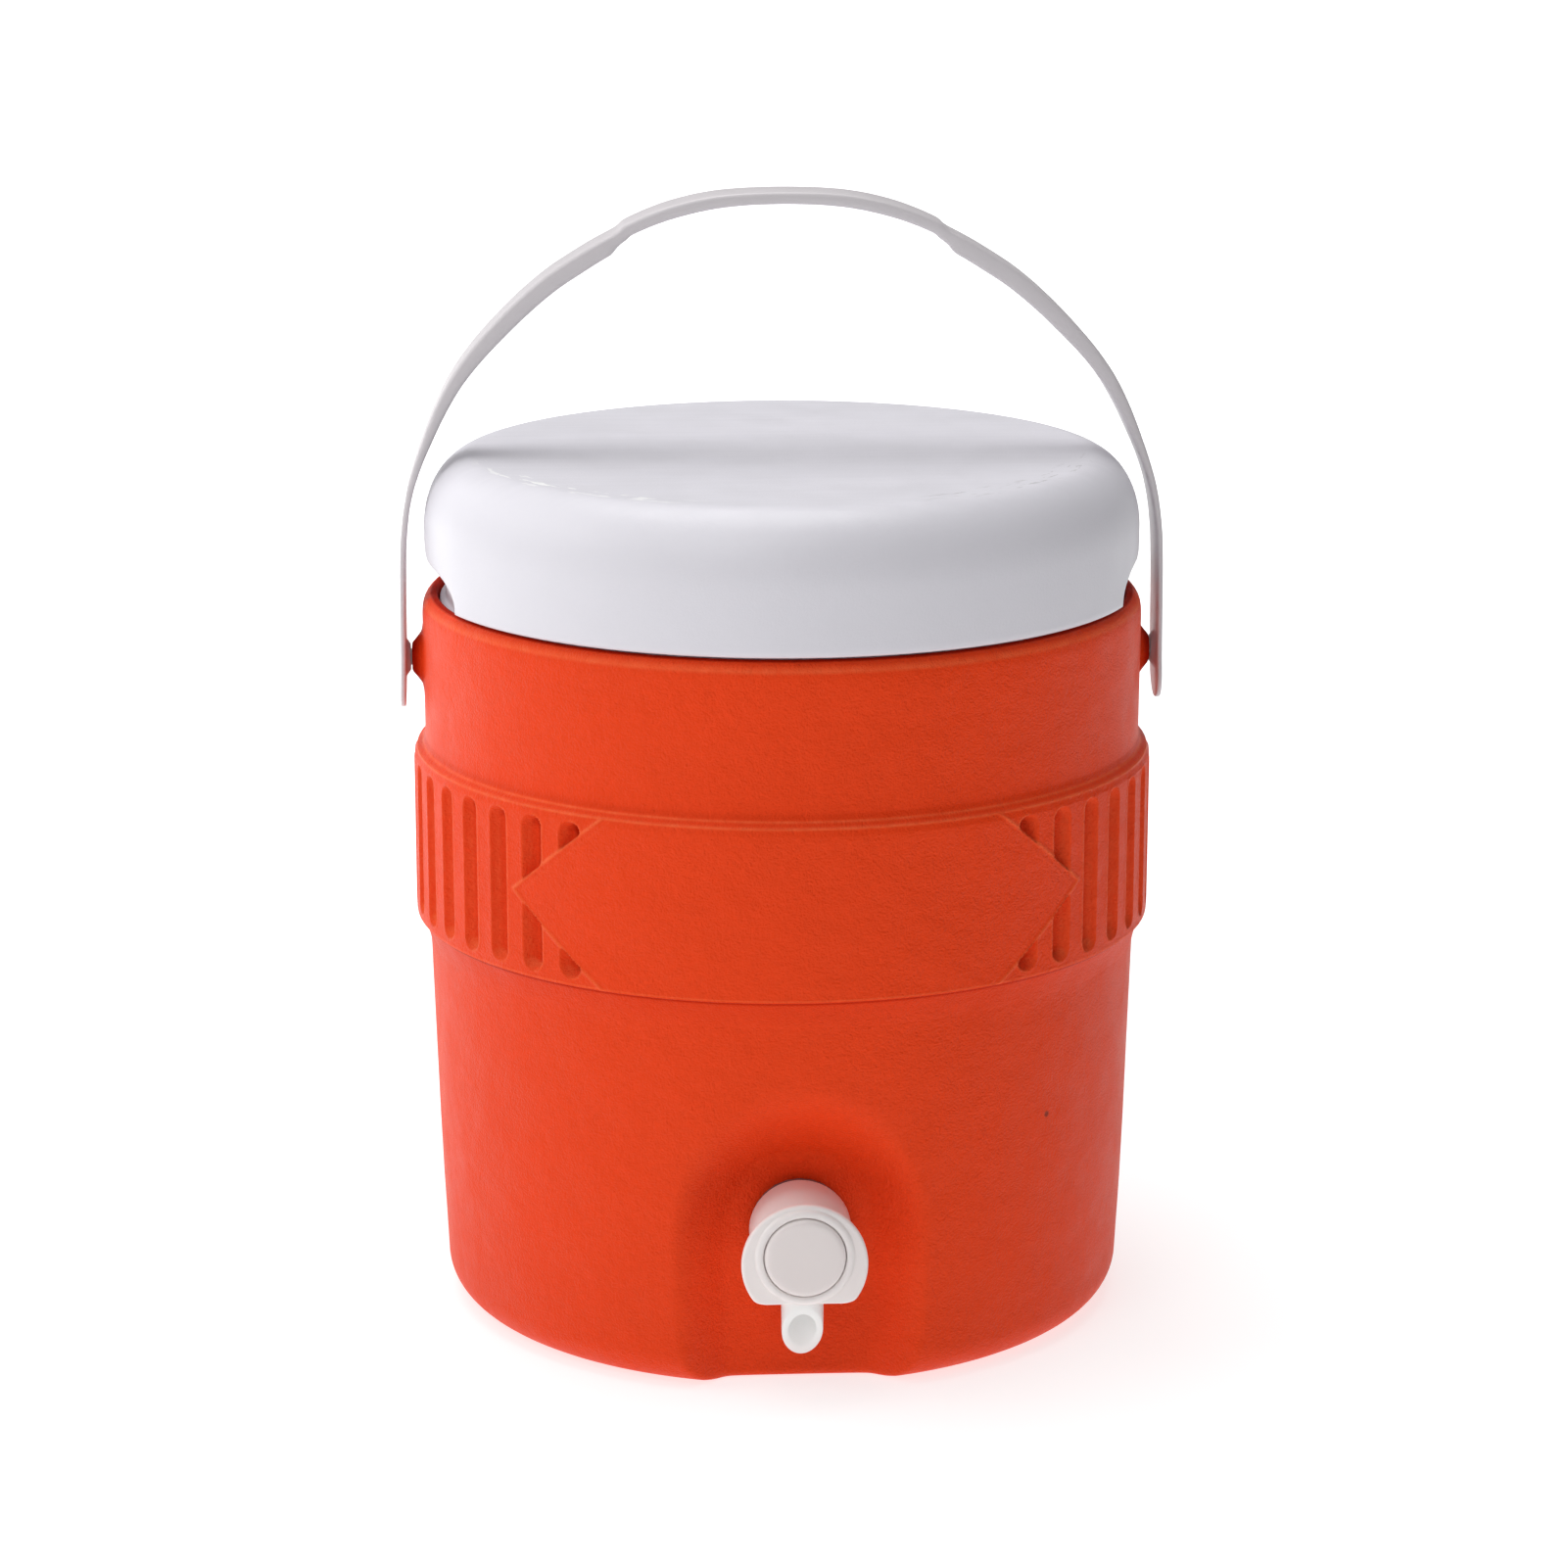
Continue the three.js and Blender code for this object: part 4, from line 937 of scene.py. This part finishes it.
MAT = {
    "casing": plastic("casing_orange", (0.89, 0.0505, 0.0060), 0.5, spec=0.24, sheen=(1.0, 0.86, 0.5), grain=1400, grain_depth=0.0005, tone=0.03, sss=0.0, mottling=0.05, rough_var=0.06, marks_and_painted_light=casing_marks),
    "lid": plastic("lid_white", srgb(224, 222, 229), 0.42, grain=1300, grain_depth=0.00007, tone=0.012, rough_var=0.07, marks_and_painted_light=lid_marks),
    "handle": plastic("strap_white", srgb(208, 203, 206), 0.4, grain=1600, grain_depth=0.00002, tone=0.015, rough_var=0.05),
    "tap": plastic("tap_white", srgb(245, 239, 237), 0.34, grain=1500, grain_depth=0.000012, tone=0.012, rough_var=0.05, sss=0.25),
    # a darker copy of the tap's white plastic: painted shade on the button
    "button": plastic("button_white_shaded", srgb(240, 231, 229), 0.36, grain=1500, grain_depth=0.000012, tone=0.012, rough_var=0.05, sss=0.25),
    # a cooler copy of the tap's white plastic: the orange light bounced onto the barrel and spout is painted out of
    # its colour
    "barrel": plastic("barrel_white_cooled", (0.93, 0.965, 0.95), 0.34, grain=1500, grain_depth=0.000012, tone=0.012, rough_var=0.05, sss=0.25),
    "tank": plastic("tank_white", srgb(236, 236, 232), 0.3, grain=700, grain_depth=0.00002, tone=0.01),
    "foam": plastic("foam_cream", srgb(238, 228, 190), 0.9, grain=450, grain_depth=0.0004, tone=0.06, rough_var=0.03, mottling=0.15),
    "socket": plastic("socket_natural", srgb(220, 222, 224), 0.45, grain=1200, grain_depth=0.00003),
    "seal": plastic("seal_grey", srgb(118, 118, 121), 0.62, grain=900, grain_depth=0.00005, tone=0.05),
    "spring": plastic("spring_steel", srgb(196, 198, 202), 0.28, grain=2500, grain_depth=0.00001, tone=0.03, metallic=1.0),
}


def dress(ob, mat):
    ob.data.materials.clear()
    ob.data.materials.append(mat)


# ------------------------------------------------------------------ build and attach
def add(ob, body, nodes, slot, finish=None):
    dress(ob, MAT[finish or slot])
    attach(ob, body)
    if nodes:
        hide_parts(*nodes)
    return ob


add(build_casing(), "jug", ["outer_shell"], "casing")
add(build_lid(), "lid", ["lid_shell"], "lid")
add(build_bail(), "bail", ["bail_handle"], "handle")
add(build_tap_body(), "jug", ["tap_body"], "tap", "barrel")
add(build_flange(), "jug", ["tap_flange"], "tap")
add(build_button(), "button", ["tap_button"], "tap", "button")
add(build_tank(), "jug", ["inner_liner"], "tank")
add(build_plug(), "lid", ["lid_plug"], "lid")
add(build_gasket(), "lid", ["lid_gasket"], "seal")

# less specular reflection where the shade is painted: the slots' floors and the rim's shaded inside
_nt = MAT["casing"].node_tree
_b = next(n for n in _nt.nodes if n.type == "BSDF_PRINCIPLED")
_h = node(_nt, "ShaderNodeAttribute", attribute_name="painted_shade")
_m = node(_nt, "ShaderNodeMapRange")
_m.inputs["To Min"].default_value = 0.24
_m.inputs["To Max"].default_value = 0.02
_nt.links.new(_h.outputs["Fac"], _m.inputs["Value"])
_nt.links.new(_m.outputs[0], _b.inputs["Specular IOR Level"])

SLOT_OF = {"body_foam": "foam", "lid_foam": "foam", "pivot_socket_left": "socket", "pivot_socket_right": "socket", "stem_oring": "seal",
           "outer_gasket": "seal", "inner_gasket": "seal", "lock_nut": "tap", "tap_spring": "spring", "tap_stem": "tap", "valve_seal": "seal",
           "stem_clip": "spring"}
for name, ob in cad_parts.items():
    slot = SLOT_OF.get(name)
    if slot is None:
        slot = {"outer_shell": "casing", "inner_liner": "tank", "lid_shell": "lid", "lid_plug": "lid", "lid_gasket": "seal", "bail_handle": "handle"}.get(name, "tap")
    if not ob.material_slots:
        ob.data.materials.append(MAT[slot])
    for s in ob.material_slots:
        s.material = MAT[slot]
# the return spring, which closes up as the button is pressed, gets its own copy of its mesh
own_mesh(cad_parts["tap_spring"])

# ------------------------------------------------------------------ camera
YAW = math.radians(3.3)
cam_data = bpy.data.cameras.new("camera")
cam_data.lens = 99.2
cam_data.sensor_width = 36.0
cam_data.clip_start = 0.05
cam_data.clip_end = 30
cam = bpy.data.objects.new("camera", cam_data)
SCENE.collection.objects.link(cam)
cx, cy, cz = 0.74, -1400.0, 525.8
cam.location = ((cx * math.cos(YAW) + cy * math.sin(YAW)) * 0.001, (-cx * math.sin(YAW) + cy * math.cos(YAW)) * 0.001, cz * 0.001)
cam.rotation_euler = (math.radians(90 - 14.17), 0, -YAW)
SCENE.camera = cam


# ------------------------------------------------------------------ floor and light
def build_floor():
    n = 48
    verts = [(0, 0, -0.15)]
    faces = []
    radii = [400, 900, 2000, 5000, 14000]
    for r in radii:
        for i in range(n):
            a = 2 * math.pi * i / n
            verts.append((r * math.cos(a), r * math.sin(a), -0.15))
    for i in range(n):
        faces.append([0, 1 + i, 1 + (i + 1) % n])
    for k in range(len(radii) - 1):
        for i in range(n):
            a0, a1 = 1 + k * n + i, 1 + k * n + (i + 1) % n
            faces.append([a0, a0 + n, a1 + n, a1])
    ob = mesh_object("floor", verts, faces, flat=True)
    m = bpy.data.materials.new("floor_white")
    m.use_nodes = True
    b = m.node_tree.nodes["Principled BSDF"]
    b.inputs["Base Color"].default_value = (0.48, 0.485, 0.49, 1)
    b.inputs["Roughness"].default_value = 0.85
    b.inputs["Specular IOR Level"].default_value = 0.1
    b.inputs["Emission Color"].default_value = (1, 1, 1, 1)
    # the floor glows and lights the jug: painted light, dimmer close round the jug as a painted contact shadow and
    # brighter farther out
    geo = m.node_tree.nodes.new("ShaderNodeNewGeometry")
    far = m.node_tree.nodes.new("ShaderNodeVectorMath")
    far.operation = "LENGTH"
    glow = m.node_tree.nodes.new("ShaderNodeMapRange")
    glow.inputs["From Min"].default_value = 0.14
    glow.inputs["From Max"].default_value = 1.6
    glow.inputs["To Min"].default_value = 0.7
    glow.inputs["To Max"].default_value = 0.98
    m.node_tree.links.new(geo.outputs["Position"], far.inputs[0])
    m.node_tree.links.new(far.outputs["Value"], glow.inputs["Value"])
    # painted pool of light: the floor glows brighter to the back left, for the sheen along the jug's left side
    aside = m.node_tree.nodes.new("ShaderNodeVectorMath")
    aside.operation = "DOT_PRODUCT"
    aside.inputs[1].default_value = (-0.8, 0.6, 0.0)
    m.node_tree.links.new(geo.outputs["Position"], aside.inputs[0])
    wing = m.node_tree.nodes.new("ShaderNodeMapRange")
    wing.inputs["From Min"].default_value = 0.1
    wing.inputs["From Max"].default_value = 0.9
    wing.inputs["To Min"].default_value = 0.0
    wing.inputs["To Max"].default_value = 0.42
    m.node_tree.links.new(aside.outputs["Value"], wing.inputs["Value"])
    both = m.node_tree.nodes.new("ShaderNodeMath")
    both.operation = "ADD"
    m.node_tree.links.new(glow.outputs[0], both.inputs[0])
    m.node_tree.links.new(wing.outputs[0], both.inputs[1])
    right = m.node_tree.nodes.new("ShaderNodeVectorMath")       # less glow away to the right
    right.operation = "DOT_PRODUCT"
    right.inputs[1].default_value = (0.98, -0.19, 0.0)
    m.node_tree.links.new(geo.outputs["Position"], right.inputs[0])
    dim = m.node_tree.nodes.new("ShaderNodeMapRange")
    dim.inputs["From Min"].default_value = 0.34
    dim.inputs["From Max"].default_value = 0.9
    dim.inputs["To Min"].default_value = 0.0
    dim.inputs["To Max"].default_value = 0.26
    m.node_tree.links.new(right.outputs["Value"], dim.inputs["Value"])
    less = m.node_tree.nodes.new("ShaderNodeMath")
    less.operation = "SUBTRACT"
    m.node_tree.links.new(both.outputs[0], less.inputs[0])
    m.node_tree.links.new(dim.outputs[0], less.inputs[1])
    both = less
    m.node_tree.links.new(both.outputs[0], b.inputs["Emission Strength"])
    dress(ob, m)
    return ob


build_floor()


def area(name, loc, target, size, power, colour=(1, 1, 1), size_y=None):
    d = bpy.data.lights.new(name, "AREA")
    d.energy = power
    d.color = colour
    d.size = size
    if size_y:
        d.shape = "RECTANGLE"
        d.size_y = size_y
    ob = bpy.data.objects.new(name, d)
    SCENE.collection.objects.link(ob)
    ob.location = loc
    v = Vector(target) - Vector(loc)
    ob.rotation_euler = v.to_track_quat("-Z", "Y").to_euler()
    return ob


area("key", (-1.4, -0.09, 1.0), (0, 0, 0.2), 0.85, 4.2, (1.0, 0.985, 0.97))
area("front", (-0.75, -1.6, 1.7), (0, 0, 0.2), 1.2, 7.4)
area("behind", (-1.09, 1.3, 0.5), (0, 0, 0.2), 1.2, 3.0)
area("overhead", (-0.2, 0.25, 2.2), (0, 0, 0.2), 1.6, 28)

world = bpy.data.worlds.new("studio")
SCENE.world = world
world.use_nodes = True
wt = world.node_tree
bg = wt.nodes["Background"]
bg.inputs["Color"].default_value = (1, 1, 1, 1)
# a softly uneven studio: brighter above, behind and to the left
direction = wt.nodes.new("ShaderNodeTexCoord")
dot = wt.nodes.new("ShaderNodeVectorMath")
dot.operation = "DOT_PRODUCT"
dot.inputs[1].default_value = (-0.2, 0.12, 0.2)
wt.links.new(direction.outputs["Generated"], dot.inputs[0])
plus = wt.nodes.new("ShaderNodeMath")
plus.operation = "ADD"
plus.use_clamp = True
plus.inputs[1].default_value = 0.17
wt.links.new(dot.outputs["Value"], plus.inputs[0])
wt.links.new(plus.outputs[0], bg.inputs["Strength"])
SCENE.view_settings.view_transform = "Standard"
SCENE.view_settings.look = "None"
